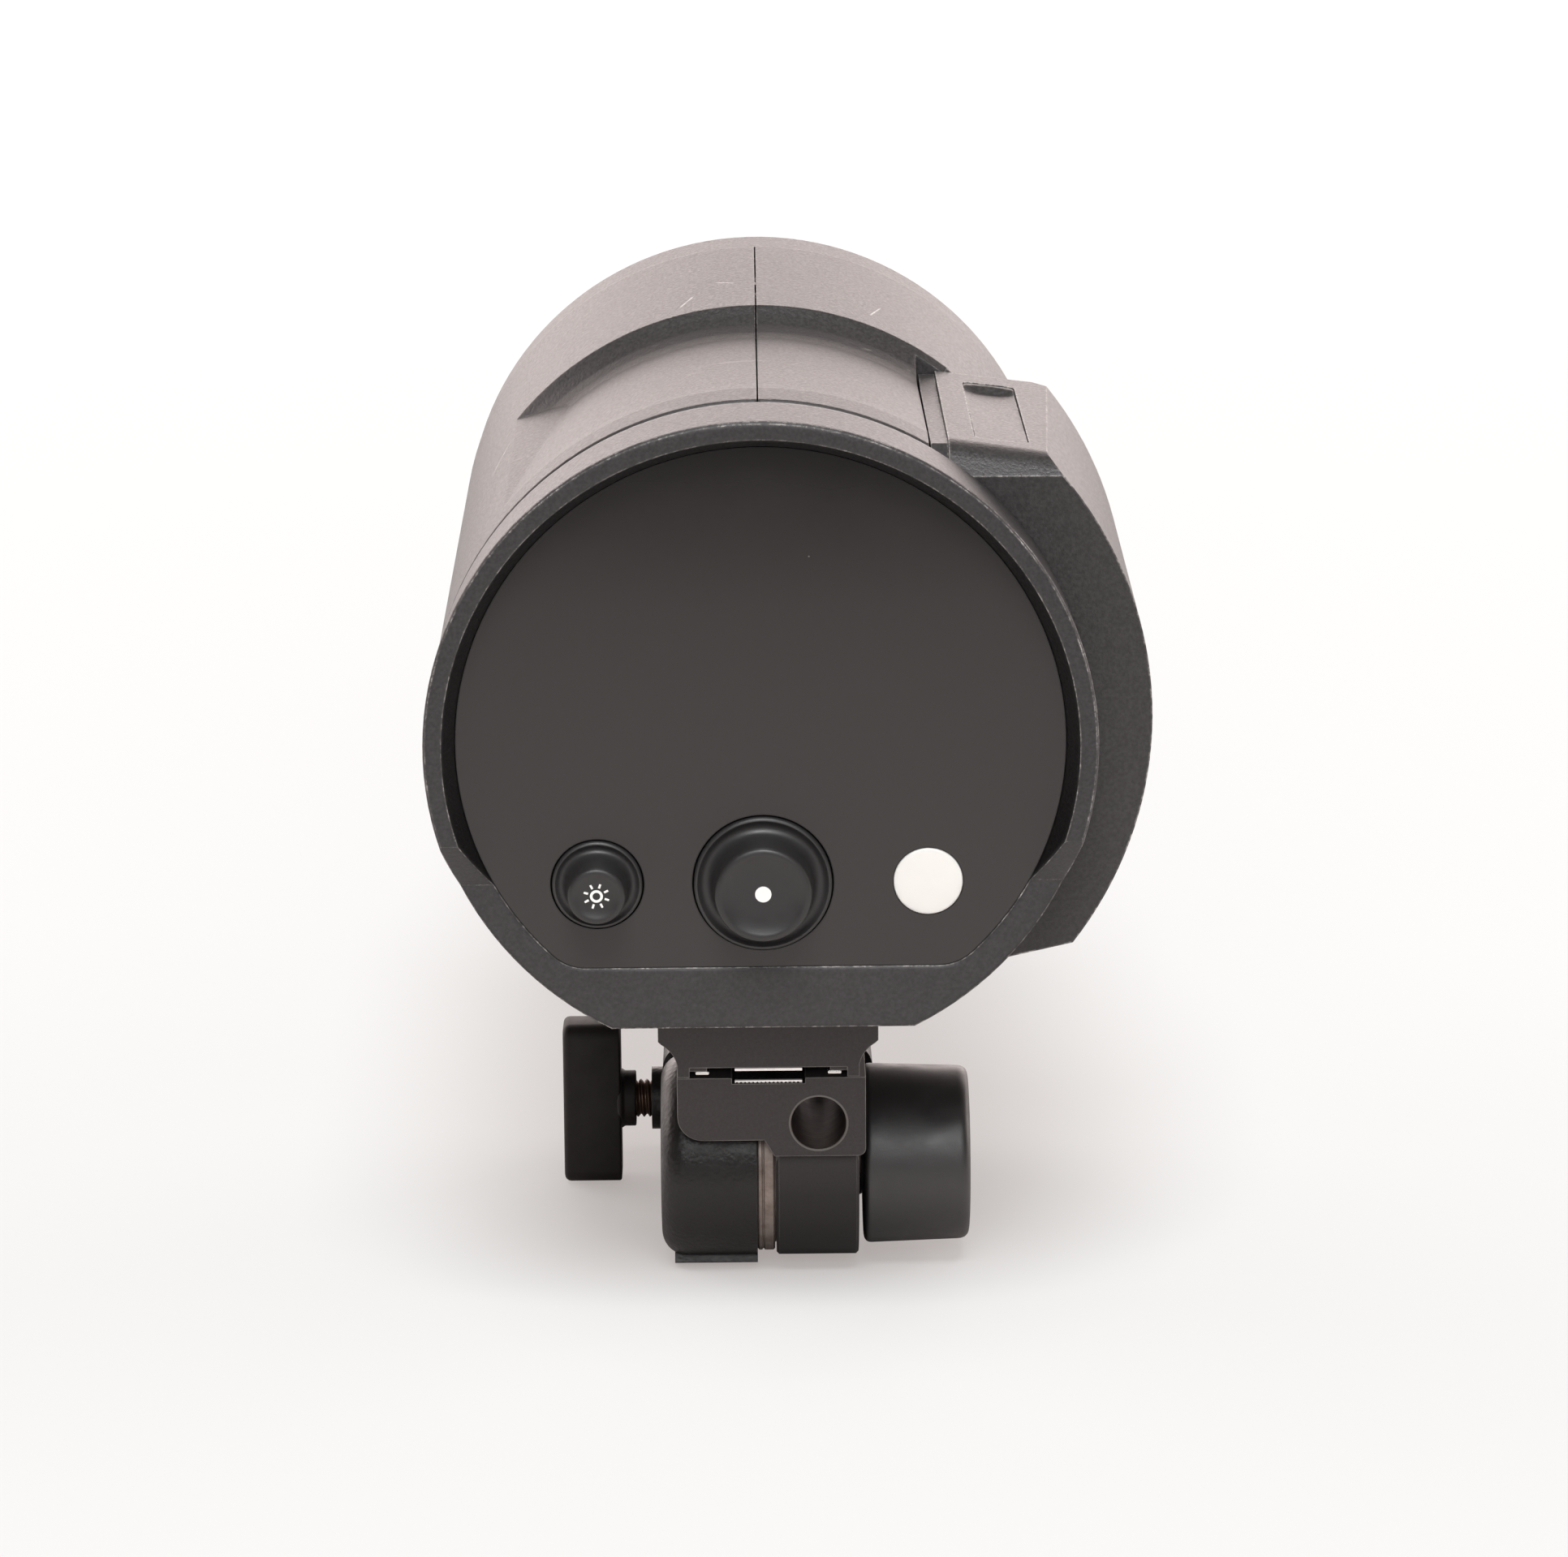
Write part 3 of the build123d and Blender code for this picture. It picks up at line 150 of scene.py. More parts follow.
def edge_share(tree: Tree, band_mm: float) -> bpy.types.Node:
    """How near a point is to a sharp edge, from 0 away from it to 1 on it.

    Args:
        tree: the material's tree.
        band_mm: how wide the edge's band is.

    Returns:
        The node that gives the share.
    """
    soft = add_node(tree, "Bevel", [band_mm * MM], samples=6)
    plain = add_node(tree, "NewGeometry").outputs["Normal"]
    turn = add_node(tree, "VectorMath", [soft, plain], operation="DOT_PRODUCT")
    return add_node(tree, "MapRange", [turn, 1.0 - 0.25 * EDGE_TURN, 1.0 - EDGE_TURN, 0.0, 1.0])


@dataclass(frozen=True)
class Finish:
    """Shared sizes of a surface: its name, its colour in sRGB hex and its gloss."""

    name: str
    colour: str
    roughness: float
    ior: float = 1.46
    metallic: float = 0.0
    specular: float = 0.5

    def pattern(self, tree: Tree, place: Socket) -> Dict[str, Feed]:
        """Give the shader's inputs that a pattern drives, which a plain finish doesn't have."""
        return {}

    def seen_through(self, tree: Tree, place: Socket, shader: bpy.types.Node) -> bpy.types.Node:
        """Give the node that the material shows, which is the surface shader itself."""
        return shader

    def material(self) -> bpy.types.Material:
        """Make the material: one surface shader, whose patterns lie on Object coordinates.

        Returns:
            The finished material.
        """
        material = bpy.data.materials.new(self.name)
        material.use_nodes = True
        tree = material.node_tree
        tree.nodes.clear()
        place = add_node(tree, "TexCoord").outputs["Object"]
        shader = add_node(tree, "BsdfPrincipled", {
            "Base Color": linear(self.colour), "Roughness": self.roughness, "IOR": self.ior,
            "Metallic": self.metallic, "Specular IOR Level": self.specular, **self.pattern(tree, place)})
        add_node(tree, "OutputMaterial", [self.seen_through(tree, place, shader)])
        return material


@dataclass(frozen=True)
class SparkTexturedPlastic(Finish):
    """ABS and polycarbonate blend, moulded in a spark-eroded tool.

    It looks dull and evenly grained, and its edges are pale with wear, which on the rear rim is partly
    painted highlight. The real grain is about 0.1 mm, too fine for the render, so it is drawn several
    times as coarse.
    """

    grain_mm: float = 0.65
    grain_depth_mm: float = 0.11
    cloud_mm: float = 22.0
    rub_mm: float = 5.0
    chip_mm: float = 0.9
    worn: str = "8f8c8a"
    wear: float = 0.6
    wear_band_mm: float = 0.35
    scratches: float = 0.15
    scratch_mm: Place = (40.0, 2.2, 2.2)
    scratch_turn: Place = (0.3, 0.2, 0.5)
    patch_mm: float = 30.0
    blend_mm: float = 0.25

    def pattern(self, tree: Tree, place: Socket) -> Dict[str, Feed]:
        """Lay grain, handling marks and worn edges, on the rear rim also painted highlight, over the colour.

        Args:
            tree: the material's tree.
            place: the coordinates in metres.

        Returns:
            The shader's inputs that they drive.
        """
        grain = add_node(tree, "TexNoise", [place, per_metre(self.grain_mm), 2.0, 0.6])
        cloud = add_node(tree, "TexNoise", [place, per_metre(self.cloud_mm), 4.0, 0.6])
        cloudy = add_node(tree, "MapRange", [cloud, *NOISE_SPAN, 0.0, 1.0])
        tone = add_node(tree, "Mix", [cloudy, linear(self.colour), linear(self.colour, 1.08)],
                        data_type="RGBA")
        fleck = add_node(tree, "MapRange", [grain, 0.35, 0.75, 0.0, 1.0])
        tone = add_node(tree, "Mix", [fleck, tone, linear(self.colour, 1.7)], data_type="RGBA")
        rubbed = add_node(tree, "TexNoise", [place, per_metre(self.rub_mm), 6.0, 0.75])
        chips = add_node(tree, "TexNoise", [place, per_metre(self.chip_mm), 2.0, 0.7])
        # The pale edges: wear, and on the rear rim also painted highlight where they catch the light.
        worn: Feed = self.wear
        for share in (edge_share(tree, self.wear_band_mm),
                      add_node(tree, "MapRange", [chips, 0.45, 0.6, 0.25, 1.0]),
                      add_node(tree, "MapRange", [rubbed, 0.42, 0.62, 0.15, 1.0])):
            worn = add_node(tree, "Math", [share, worn], operation="MULTIPLY")
        for share in (worn, self.handling_marks(tree, place)):
            tone = add_node(tree, "Mix", [share, tone, linear(self.worn)], data_type="RGBA")
        soft = add_node(tree, "Bevel", [self.blend_mm * MM], samples=6)
        return {
            "Base Color": self.finished_tone(tree, place, tone),
            "Roughness": add_node(tree, "MapRange", [
                grain, 0.35, 0.65, self.roughness - 0.05, self.roughness + 0.06]),
            "Normal": add_node(tree, "Bump", {
                "Strength": 0.9, "Distance": self.grain_depth_mm * MM, "Height": grain, "Normal": soft})}

    def handling_marks(self, tree: Tree, place: Socket) -> bpy.types.Node:
        """Thin short scratches in patches.

        Args:
            tree: the material's tree.
            place: the coordinates in metres.

        Returns:
            The node that gives their share.
        """
        lines = add_node(tree, "Mapping", {
            "Vector": place, "Rotation": self.scratch_turn,
            "Scale": tuple(per_metre(size) for size in self.scratch_mm)})
        streak = add_node(tree, "TexNoise", [lines, 1.0, 2.0, 0.4])
        patches = add_node(tree, "TexNoise", [place, per_metre(self.patch_mm), 3.0, 0.7])
        return add_node(tree, "Math", [
            add_node(tree, "MapRange", [streak, 0.66, 0.72, 0.0, self.scratches]),
            add_node(tree, "MapRange", [patches, 0.56, 0.66, 0.0, 1.0])], operation="MULTIPLY")

    def finished_tone(self, tree: Tree, place: Socket, tone: bpy.types.Node) -> bpy.types.Node:
        """Give the colour as it is; a moulding with a part of another finish changes it here."""
        return tone


@dataclass(frozen=True)
class RearRimMoulding(SparkTexturedPlastic):
    """The rim's moulding, grained, with painted shade that makes its inner wall, which faces the head's axis,
    deep black.
    """

    # Near-black of the painted shade on the inner wall.
    inner_wall_shade: str = "0c0b0b"

    def finished_tone(self, tree: Tree, place: Socket, tone: bpy.types.Node) -> bpy.types.Node:
        """Paint shade on the wall that faces the head's axis, which makes it deep black.

        Args:
            tree: the material's tree.
            place: the coordinates in metres.
            tone: the grained colour.

        Returns:
            The colour with the painted shade on the inner wall.
        """
        away = add_node(tree, "VectorMath", [place, HEAD_SHIFT_MM * MM], operation="SUBTRACT")
        flat = add_node(tree, "VectorMath", [away, (1.0, 0.0, 1.0)], operation="MULTIPLY")
        radial = add_node(tree, "VectorMath", [flat], operation="NORMALIZE")
        facing = add_node(tree, "VectorMath", [radial, place.node.outputs["Normal"]], operation="DOT_PRODUCT")
        # Painted shade: the wall that faces the head's axis turns near-black.
        shaded_inward = add_node(tree, "MapRange", [facing, -0.6, -0.8, 0.0, 1.0])
        return add_node(tree, "Mix", [shaded_inward, tone, linear(self.inner_wall_shade)], data_type="RGBA")


@dataclass(frozen=True)
class Scratch:
    """One scratch: its two ends from the rear rim's centre and its width, in millimetres."""

    start: Place
    end: Place
    width: float


@dataclass(frozen=True)
class ScratchedShell(SparkTexturedPlastic):
    """The body halves' moulding, with the few scratches that its use has left."""

    marks: Tuple[Scratch, ...] = ()
    torn_mm: float = 2.2

    def finished_tone(self, tree: Tree, place: Socket, tone: bpy.types.Node) -> bpy.types.Node:
        """Draw the scratches, each broken up where it is torn.

        Args:
            tree: the material's tree.
            place: the coordinates in metres.
            tone: the grained colour.

        Returns:
            The colour with its scratches.
        """
        torn = add_node(tree, "TexNoise", [place, per_metre(self.torn_mm), 4.0, 0.75])
        for mark in self.marks:
            first, last = head(*mark.start), head(*mark.end)
            middle, reach, width = (first + last) / 2.0, (last - first).length / 2.0, mark.width * MM
            away = add_node(tree, "VectorMath", [place, middle], operation="SUBTRACT")
            along = add_node(tree, "VectorMath", [away, last - first], operation="PROJECT")
            aside = add_node(tree, "VectorMath", [away, along], operation="DISTANCE")
            run = add_node(tree, "VectorMath", [along], operation="LENGTH")
            share = add_node(tree, "MapRange", [torn, 0.38, 0.55, 0.1, 0.85])
            for reached, full, none in ((aside, 0.4 * width, width), (run, 0.6 * reach, reach)):
                fade = add_node(tree, "MapRange", [reached, full, none, 1.0, 0.0])
                share = add_node(tree, "Math", [fade, share], operation="MULTIPLY")
            tone = add_node(tree, "Mix", [share, tone, linear(self.worn)], data_type="RGBA")
        return tone


@dataclass(frozen=True)
class SmokedAcrylic(Finish):
    """Tinted acrylic, cast and hard-coated to a satin.

    It is an even warm dark grey with a soft sheen, darker at its border and towards its top, where the
    rim keeps the light off, with a few specks of dust.
    """

    cloud_mm: float = 18.0
    coat_grain_mm: float = 0.35
    coat_grain_depth_mm: float = 0.01
    dust_spacing_mm: float = 9.0
    speck: str = "8b8782"
    border: str = "070606"
    border_mm: float = 0.45
    shade: float = 0.6
    shade_from_mm: float = 150.0
    shade_to_mm: float = 181.0

    def pattern(self, tree: Tree, place: Socket) -> Dict[str, Feed]:
        """Lay faint dust, a cloudy gloss and the darker top and border over the tint.

        Args:
            tree: the material's tree.
            place: the coordinates in metres.

        Returns:
            The shader's inputs that they drive.
        """
        cloud = add_node(tree, "TexNoise", [place, per_metre(self.cloud_mm), 3.0, 0.6])
        fine = add_node(tree, "TexNoise", [place, per_metre(self.coat_grain_mm), 1.0, 0.5])
        cloudy = add_node(tree, "MapRange", [cloud, *NOISE_SPAN, 0.0, 1.0])
        tone = add_node(tree, "Mix", [cloudy, linear(self.colour), linear(self.colour, 1.1)],
                        data_type="RGBA")
        dust = add_node(tree, "TexVoronoi", [place, per_metre(self.dust_spacing_mm)])
        height = add_node(tree, "SeparateXYZ", [place]).outputs["Z"]
        for share, colour in (
                (add_node(tree, "MapRange", [dust, 0.012, 0.02, 0.6, 0.0]), self.speck),
                (add_node(tree, "MapRange", [
                    height, self.shade_from_mm * MM, self.shade_to_mm * MM, 0.0, self.shade]), self.border),
                (edge_share(tree, self.border_mm), self.border)):
            tone = add_node(tree, "Mix", [share, tone, linear(colour)], data_type="RGBA")
        return {
            "Base Color": tone,
            "Roughness": add_node(tree, "MapRange", [
                cloud, *NOISE_SPAN, self.roughness - 0.02, self.roughness + 0.03]),
            "Normal": add_node(tree, "Bump", {
                "Strength": 0.25, "Distance": self.coat_grain_depth_mm * MM, "Height": fine})}


@dataclass(frozen=True)
class SatinMoulding(Finish):
    """Black nylon, moulded in a smooth tool, for the knobs.

    It is satin, polished by fingers on its edges and dull in its low places. Its grain of a few
    hundredths of a millimetre is drawn coarser, so that it shows.
    """

    smear_mm: float = 7.0
    grain_mm: float = 0.3
    grain_depth_mm: float = 0.03
    polish: str = "4a4847"
    polish_share: float = 0.55
    edge_mm: float = 0.4
    blend_mm: float = 0.2

    def pattern(self, tree: Tree, place: Socket) -> Dict[str, Feed]:
        """Lay the polished edges and the finger smears over the colour.

        Args:
            tree: the material's tree.
            place: the coordinates in metres.

        Returns:
            The shader's inputs that they drive.
        """
        smear = add_node(tree, "TexNoise", [place, per_metre(self.smear_mm), 4.0, 0.65])
        grain = add_node(tree, "TexNoise", [place, per_metre(self.grain_mm), 2.0, 0.5])
        polished = add_node(tree, "Math", [edge_share(tree, self.edge_mm), self.polish_share],
                            operation="MULTIPLY")
        soft = add_node(tree, "Bevel", [self.blend_mm * MM], samples=4)
        return {
            "Base Color": add_node(tree, "Mix", [polished, linear(self.colour), linear(self.polish)],
                                   data_type="RGBA"),
            "Roughness": add_node(tree, "MapRange", [
                smear, *NOISE_SPAN, self.roughness - 0.07, self.roughness + 0.08]),
            "Normal": add_node(tree, "Bump", {
                "Strength": 0.6, "Distance": self.grain_depth_mm * MM, "Height": grain, "Normal": soft})}


@dataclass(frozen=True)
class PowderCoatedCasting(Finish):
    """Die-cast aluminium under baked black powder coat.

    It is thick and softly uneven like orange peel, and rubbed pale on its edges.
    """

    peel_mm: float = 1.0
    peel_depth_mm: float = 0.17
    rub_mm: float = 3.5
    worn: str = "6d6a68"
    wear: float = 0.35
    wear_band_mm: float = 0.45
    blend_mm: float = 0.4

    def pattern(self, tree: Tree, place: Socket) -> Dict[str, Feed]:
        """Lay the orange peel and the edge rub over the colour.

        Args:
            tree: the material's tree.
            place: the coordinates in metres.

        Returns:
            The shader's inputs that they drive.
        """
        peel = add_node(tree, "TexNoise", [place, per_metre(self.peel_mm), 2.0, 0.45])
        rubbed = add_node(tree, "TexNoise", [place, per_metre(self.rub_mm), 5.0, 0.7])
        patchy = add_node(tree, "MapRange", [rubbed, 0.45, 0.65, 0.1 * self.wear, self.wear])
        share = add_node(tree, "Math", [edge_share(tree, self.wear_band_mm), patchy], operation="MULTIPLY")
        soft = add_node(tree, "Bevel", [self.blend_mm * MM], samples=4)
        return {
            "Base Color": add_node(tree, "Mix", [share, linear(self.colour), linear(self.worn)],
                                   data_type="RGBA"),
            "Roughness": add_node(tree, "MapRange", [
                rubbed, *NOISE_SPAN, self.roughness - 0.08, self.roughness + 0.1]),
            "Normal": add_node(tree, "Bump", {
                "Strength": 0.7, "Distance": self.peel_depth_mm * MM, "Height": peel, "Normal": soft})}


@dataclass(frozen=True)
class BlastedAnodised(Finish):
    """Aluminium, bead-blasted and then anodised dark.

    It has a fine dry grain and thin pale edges, and painted shade darkens it below the bracket's plate.
    The blasting leaves pits of about 0.05 mm, which are drawn coarser, so that they show.
    """

    grain_mm: float = 0.35
    grain_depth_mm: float = 0.03
    cloud_mm: float = 12.0
    worn: str = "a9a5a1"
    wear_band_mm: float = 0.3
    blend_mm: float = 0.2
    # Painted shade that darkens the bracket below its plate, towards the floor.
    low_shade: str = "0a0909"
    low_shade_share: float = 0.75
    unshaded_from_mm: float = 31.0
    fully_shaded_below_mm: float = 20.0

    def pattern(self, tree: Tree, place: Socket) -> Dict[str, Feed]:
        """Lay the blasted grain, the pale edges and the painted shade below the plate over the colour.

        Args:
            tree: the material's tree.
            place: the coordinates in metres.

        Returns:
            The shader's inputs that they drive.
        """
        grain = add_node(tree, "TexNoise", [place, per_metre(self.grain_mm), 2.0, 0.6])
        cloud = add_node(tree, "TexNoise", [place, per_metre(self.cloud_mm), 3.0, 0.6])
        patchy = add_node(tree, "MapRange", [cloud, 0.35, 0.65, 0.25, 0.75])
        height = add_node(tree, "SeparateXYZ", [place]).outputs["Z"]
        tone: Feed = linear(self.colour)
        for share, colour in (
                (add_node(tree, "MapRange", [grain, *NOISE_SPAN, 0.0, 1.0]), linear(self.colour, 1.3)),
                (add_node(tree, "Math", [edge_share(tree, self.wear_band_mm), patchy], operation="MULTIPLY"),
                 linear(self.worn)),
                # Painted shade: darker towards the bottom, below the bracket's plate.
                (add_node(tree, "MapRange", [
                    height, self.unshaded_from_mm * MM, self.fully_shaded_below_mm * MM, 0.0, self.low_shade_share]),
                 linear(self.low_shade))):
            tone = add_node(tree, "Mix", [share, tone, colour], data_type="RGBA")
        soft = add_node(tree, "Bevel", [self.blend_mm * MM], samples=4)
        return {"Base Color": tone, "Normal": add_node(tree, "Bump", {
            "Strength": 0.4, "Distance": self.grain_depth_mm * MM, "Height": grain, "Normal": soft})}


@dataclass(frozen=True)
class TurnedMetal(Finish):
    """Bare metal, turned or brushed: fine lines lie across one axis of the row, under patches of tarnish.

    The real lines are under 0.1 mm apart, too fine for the render, so they are drawn further apart.
    """

    ior: float = 1.5
    along: Axis = Axis.X
    line_mm: float = 0.25
    line_depth_mm: float = 0.015
    line_length_mm: float = 6.0
    patch_mm: float = 4.0
    tarnish: str = "5a4a40"
    tarnish_share: float = 0.25

    def pattern(self, tree: Tree, place: Socket) -> Dict[str, Feed]:
        """Lay the tool's lines and the tarnish over the colour.

        Args:
            tree: the material's tree.
            place: the coordinates in metres.

        Returns:
            The shader's inputs that they drive.
        """
        scale = tuple(per_metre(self.line_mm if part else self.line_length_mm) for part in self.along.value)
        lines = add_node(tree, "Mapping", {"Vector": place, "Scale": scale})
        line = add_node(tree, "TexNoise", [lines, 1.0, 2.0])
        patch = add_node(tree, "TexNoise", [place, per_metre(self.patch_mm), 4.0, 0.7])
        tarnished = add_node(tree, "MapRange", [patch, 0.4, 0.7, 0.0, self.tarnish_share])
        return {
            "Base Color": add_node(tree, "Mix", [tarnished, linear(self.colour), linear(self.tarnish)],
                                   data_type="RGBA"),
            "Roughness": add_node(tree, "MapRange", [
                line, *NOISE_SPAN, self.roughness - 0.07, self.roughness + 0.1]),
            "Normal": add_node(tree, "Bump", {
                "Strength": 0.4, "Distance": self.line_depth_mm * MM, "Height": line})}


@dataclass(frozen=True)
class CutStrip(Finish):
    """Spring steel, blackened and sheared to width: dull black faces, partly painted shade, and a bright rear
    edge.
    """

    ior: float = 1.5
    grain_mm: float = 0.6
    cut: str = "f4f2ef"
    torn_share: float = 0.08
    torn_over_mm: float = 0.1
    burnished_to_mm: float = 47.25

    def pattern(self, tree: Tree, place: Socket) -> Dict[str, Feed]:
        """Brighten the lower, burnished part of the rear cut edge; the torn part above it stays dull.

        Args:
            tree: the material's tree.
            place: the coordinates in metres.

        Returns:
            The shader's inputs that this drives.
        """
        way = add_node(tree, "SeparateXYZ", [place.node.outputs["Normal"]]).outputs["Y"]
        height = add_node(tree, "SeparateXYZ", [place]).outputs["Z"]
        burnished = self.burnished_to_mm * MM
        share = add_node(tree, "Math", [
            add_node(tree, "MapRange", [way, -0.6, -0.8, 0.0, 1.0]),
            add_node(tree, "MapRange", [
                height, burnished, burnished + self.torn_over_mm * MM, 1.0, self.torn_share])],
            operation="MULTIPLY")
        grain = add_node(tree, "TexNoise", [place, per_metre(self.grain_mm), 2.0, 0.5])
        return {
            # Black faces: blackened steel, and also painted shade of the rail's slit.
            "Base Color": add_node(tree, "Mix", [share, linear(self.colour), linear(self.cut)],
                                   data_type="RGBA"),
            "Metallic": share,
            "Roughness": add_node(tree, "MapRange", [
                grain, *NOISE_SPAN, self.roughness - 0.1, self.roughness + 0.1])}


@dataclass(frozen=True)
class MattRubber(Finish):
    """Moulded silicone rubber, and a black ring of painted shade: almost no gloss, with dust in its grooves.

    Its real grain can't be seen and is drawn coarser, so that it shows.
    """

    bloom_mm: float = 9.0
    grain_mm: float = 0.4
    grain_depth_mm: float = 0.03
    dust: str = "6e6b68"
    dust_share: float = 0.25

    def pattern(self, tree: Tree, place: Socket) -> Dict[str, Feed]:
        """Lay a light bloom of dust over the rubber.

        Args:
            tree: the material's tree.
            place: the coordinates in metres.

        Returns:
            The shader's inputs that it drives.
        """
        bloom = add_node(tree, "TexNoise", [place, per_metre(self.bloom_mm), 5.0, 0.7])
        grain = add_node(tree, "TexNoise", [place, per_metre(self.grain_mm), 2.0, 0.6])
        dusty = add_node(tree, "MapRange", [bloom, 0.45, 0.75, 0.0, self.dust_share])
        return {
            "Base Color": add_node(tree, "Mix", [dusty, linear(self.colour), linear(self.dust)],
                                   data_type="RGBA"),
            "Normal": add_node(tree, "Bump", {
                "Strength": 0.4, "Distance": self.grain_depth_mm * MM, "Height": grain})}


@dataclass(frozen=True)
class Mottled(Finish):
    """One even colour that changes a little from place to place, as nearly every made surface does."""

    mottle_mm: float = 8.0
    mottle_share: float = 1.25
    mottle_detail: float = 3.0
    mottle_roughness: float = 0.6

    def pattern(self, tree: Tree, place: Socket) -> Dict[str, Feed]:
        """Lay the mottle over the colour.

        Args:
            tree: the material's tree.
            place: the coordinates in metres.

        Returns:
            The shader's inputs that it drives.
        """
        cloud = add_node(tree, "TexNoise", [
            place, per_metre(self.mottle_mm), self.mottle_detail, self.mottle_roughness])
        return {"Base Color": add_node(tree, "Mix", [
            cloud, linear(self.colour), linear(self.colour, self.mottle_share)], data_type="RGBA")}


@dataclass(frozen=True)
class WhiteDiffuser(Mottled):
    """Opal acrylic, moulded smooth: white, and faintly glowing through its thickness."""

    mottle_mm: float = 6.0
    mottle_share: float = 0.97
    mottle_roughness: float = 0.5
    glow_share: float = 0.35
    glow_depth_mm: float = 2.0
    glow_reach: Place = (1.0, 1.0, 0.9)

    def pattern(self, tree: Tree, place: Socket) -> Dict[str, Feed]:
        """Let light into the opal acrylic, on top of its mottle."""
        return {**super().pattern(tree, place), "Subsurface Weight": self.glow_share,
                "Subsurface Radius": self.glow_reach, "Subsurface Scale": self.glow_depth_mm * MM}


@dataclass(frozen=True)
class PrintedInk(Mottled):
    """Screen-printed white ink: flat, opaque and slightly uneven where the screen let less through."""

    mottle_mm: float = 0.5
    mottle_share: float = 0.9
    mottle_detail: float = 2.0
    mottle_roughness: float = 0.5


@dataclass(frozen=True)
class PlainPart(Mottled):
    """Inner moulding, board or sleeve as it comes from its maker: a fine grain and slight cloudiness.

    The grain is drawn coarser than it is, so that it shows.
    """

    grain_mm: float = 0.6
    grain_depth_mm: float = 0.03

    def pattern(self, tree: Tree, place: Socket) -> Dict[str, Feed]:
        """Raise the grain, on top of the mottle."""
        grain = add_node(tree, "TexNoise", [place, per_metre(self.grain_mm), 2.0, 0.5])
        return {**super().pattern(tree, place), "Normal": add_node(tree, "Bump", {
            "Strength": 0.4, "Distance": self.grain_depth_mm * MM, "Height": grain})}


@dataclass(frozen=True)
class ClearGlass(Finish):
    """Borosilicate glass with an etched frost, or fire-polished quartz: clear, and as sharp as it is smooth.

    The etch's pits of a few hundredths of a millimetre are drawn coarser, so that they show.
    """

    frost_mm: float = 0.4

    def pattern(self, tree: Tree, place: Socket) -> Dict[str, Feed]:
        """Let light through the glass and vary its frost.

        Args:
            tree: the material's tree.
            place: the coordinates in metres.

        Returns:
            The shader's inputs that this drives.
        """
        frost = add_node(tree, "TexNoise", [place, per_metre(self.frost_mm), 2.0, 0.5])
        return {"Transmission Weight": 1.0, "Roughness": add_node(tree, "MapRange", [
            frost, *NOISE_SPAN, self.roughness * 0.9, self.roughness * 1.1])}


@dataclass(frozen=True)
class StudioPaper(Finish):
    """Matt white background paper, uncoated, which stays pale where the camera sees it.

    Beyond its end lies the dark room. Near the adapter the head keeps light off it.
    """

    glow: float = 0.43
    glow_colour: str = "fff4f0"
    seen_colour: str = "a7adae"
    far_colour: str = "24211f"
    paper_end: float = -0.66
    room_start: float = -0.86
    adapter_place: Place = (0.0, -0.05, 0.0)
    shaded_within: float = 0.02
    open_beyond: float = 0.08
    shaded_share: float = 0.86
    shaded_colour: str = "a39f9d"

    def pattern(self, tree: Tree, place: Socket) -> Dict[str, Feed]:
        """Colour the paper as light bounces off it: shaded near the adapter, dark beyond its end.

        Args:
            tree: the material's tree.
            place: the coordinates in metres.

        Returns:
            The shader's inputs that this drives.
        """
        across = add_node(tree, "SeparateXYZ", [place]).outputs["Y"]
        away = add_node(tree, "MapRange", [across, self.paper_end, self.room_start, 0.0, 1.0])
        reach = add_node(tree, "VectorMath", [place, self.adapter_place], operation="DISTANCE")
        under = add_node(tree, "MapRange", [reach, self.shaded_within, self.open_beyond, 1.0, 0.0])
        paper = add_node(tree, "Mix", [under, linear(self.colour), linear(self.shaded_colour)],
                         data_type="RGBA")
        return {"Base Color": add_node(tree, "Mix", [away, paper, linear(self.far_colour)],
                                       data_type="RGBA")}

    def seen_through(self, tree: Tree, place: Socket, shader: bpy.types.Node) -> bpy.types.Node:
        """Show the camera an even pale tone with a soft shadow in place of the paper's own brightness.

        Args:
            tree: the material's tree.
            place: the coordinates in metres.
            shader: the paper's surface shader.

        Returns:
            The node that the material shows.
        """
        reach = add_node(tree, "VectorMath", [place, self.adapter_place], operation="DISTANCE")
        lit = add_node(tree, "MapRange", [
            reach, self.shaded_within, self.open_beyond, self.glow * self.shaded_share, self.glow])
        seen = add_node(tree, "AddShader", [
            add_node(tree, "BsdfDiffuse", {"Color": linear(self.seen_colour)}),
            add_node(tree, "Emission", {"Color": linear(self.glow_colour), "Strength": lit})])
        camera_ray = add_node(tree, "LightPath").outputs["Is Camera Ray"]
        return add_node(tree, "MixShader", [camera_ray, shader, seen])


# The mouldings: one ABS blend and one tool texture, which differ in how pale their edges are. The pale is
# wear, and on the rear rim also painted highlight where its edges catch the light from above.
CASING = SparkTexturedPlastic("casing_spark_textured_abs", "302e2e", 0.42)
SHELL = ScratchedShell("shell_spark_textured_abs", "302e2e", 0.42, worn="d6d2cf", wear=0.45,
                       blend_mm=1.0, marks=(
    Scratch((-15.5, 112.4, 60.2), (-12.4, 121.6, 60.9), 0.32),
    Scratch((-8.2, 131.0, 61.6), (-4.2, 128.6, 62.0), 0.35),
    Scratch((-52.4, 80.9, 33.5), (-48.6, 91.3, 38.7), 0.35),
    Scratch((23.1, 116.0, 57.8), (25.6, 128.3, 56.6), 0.25)))
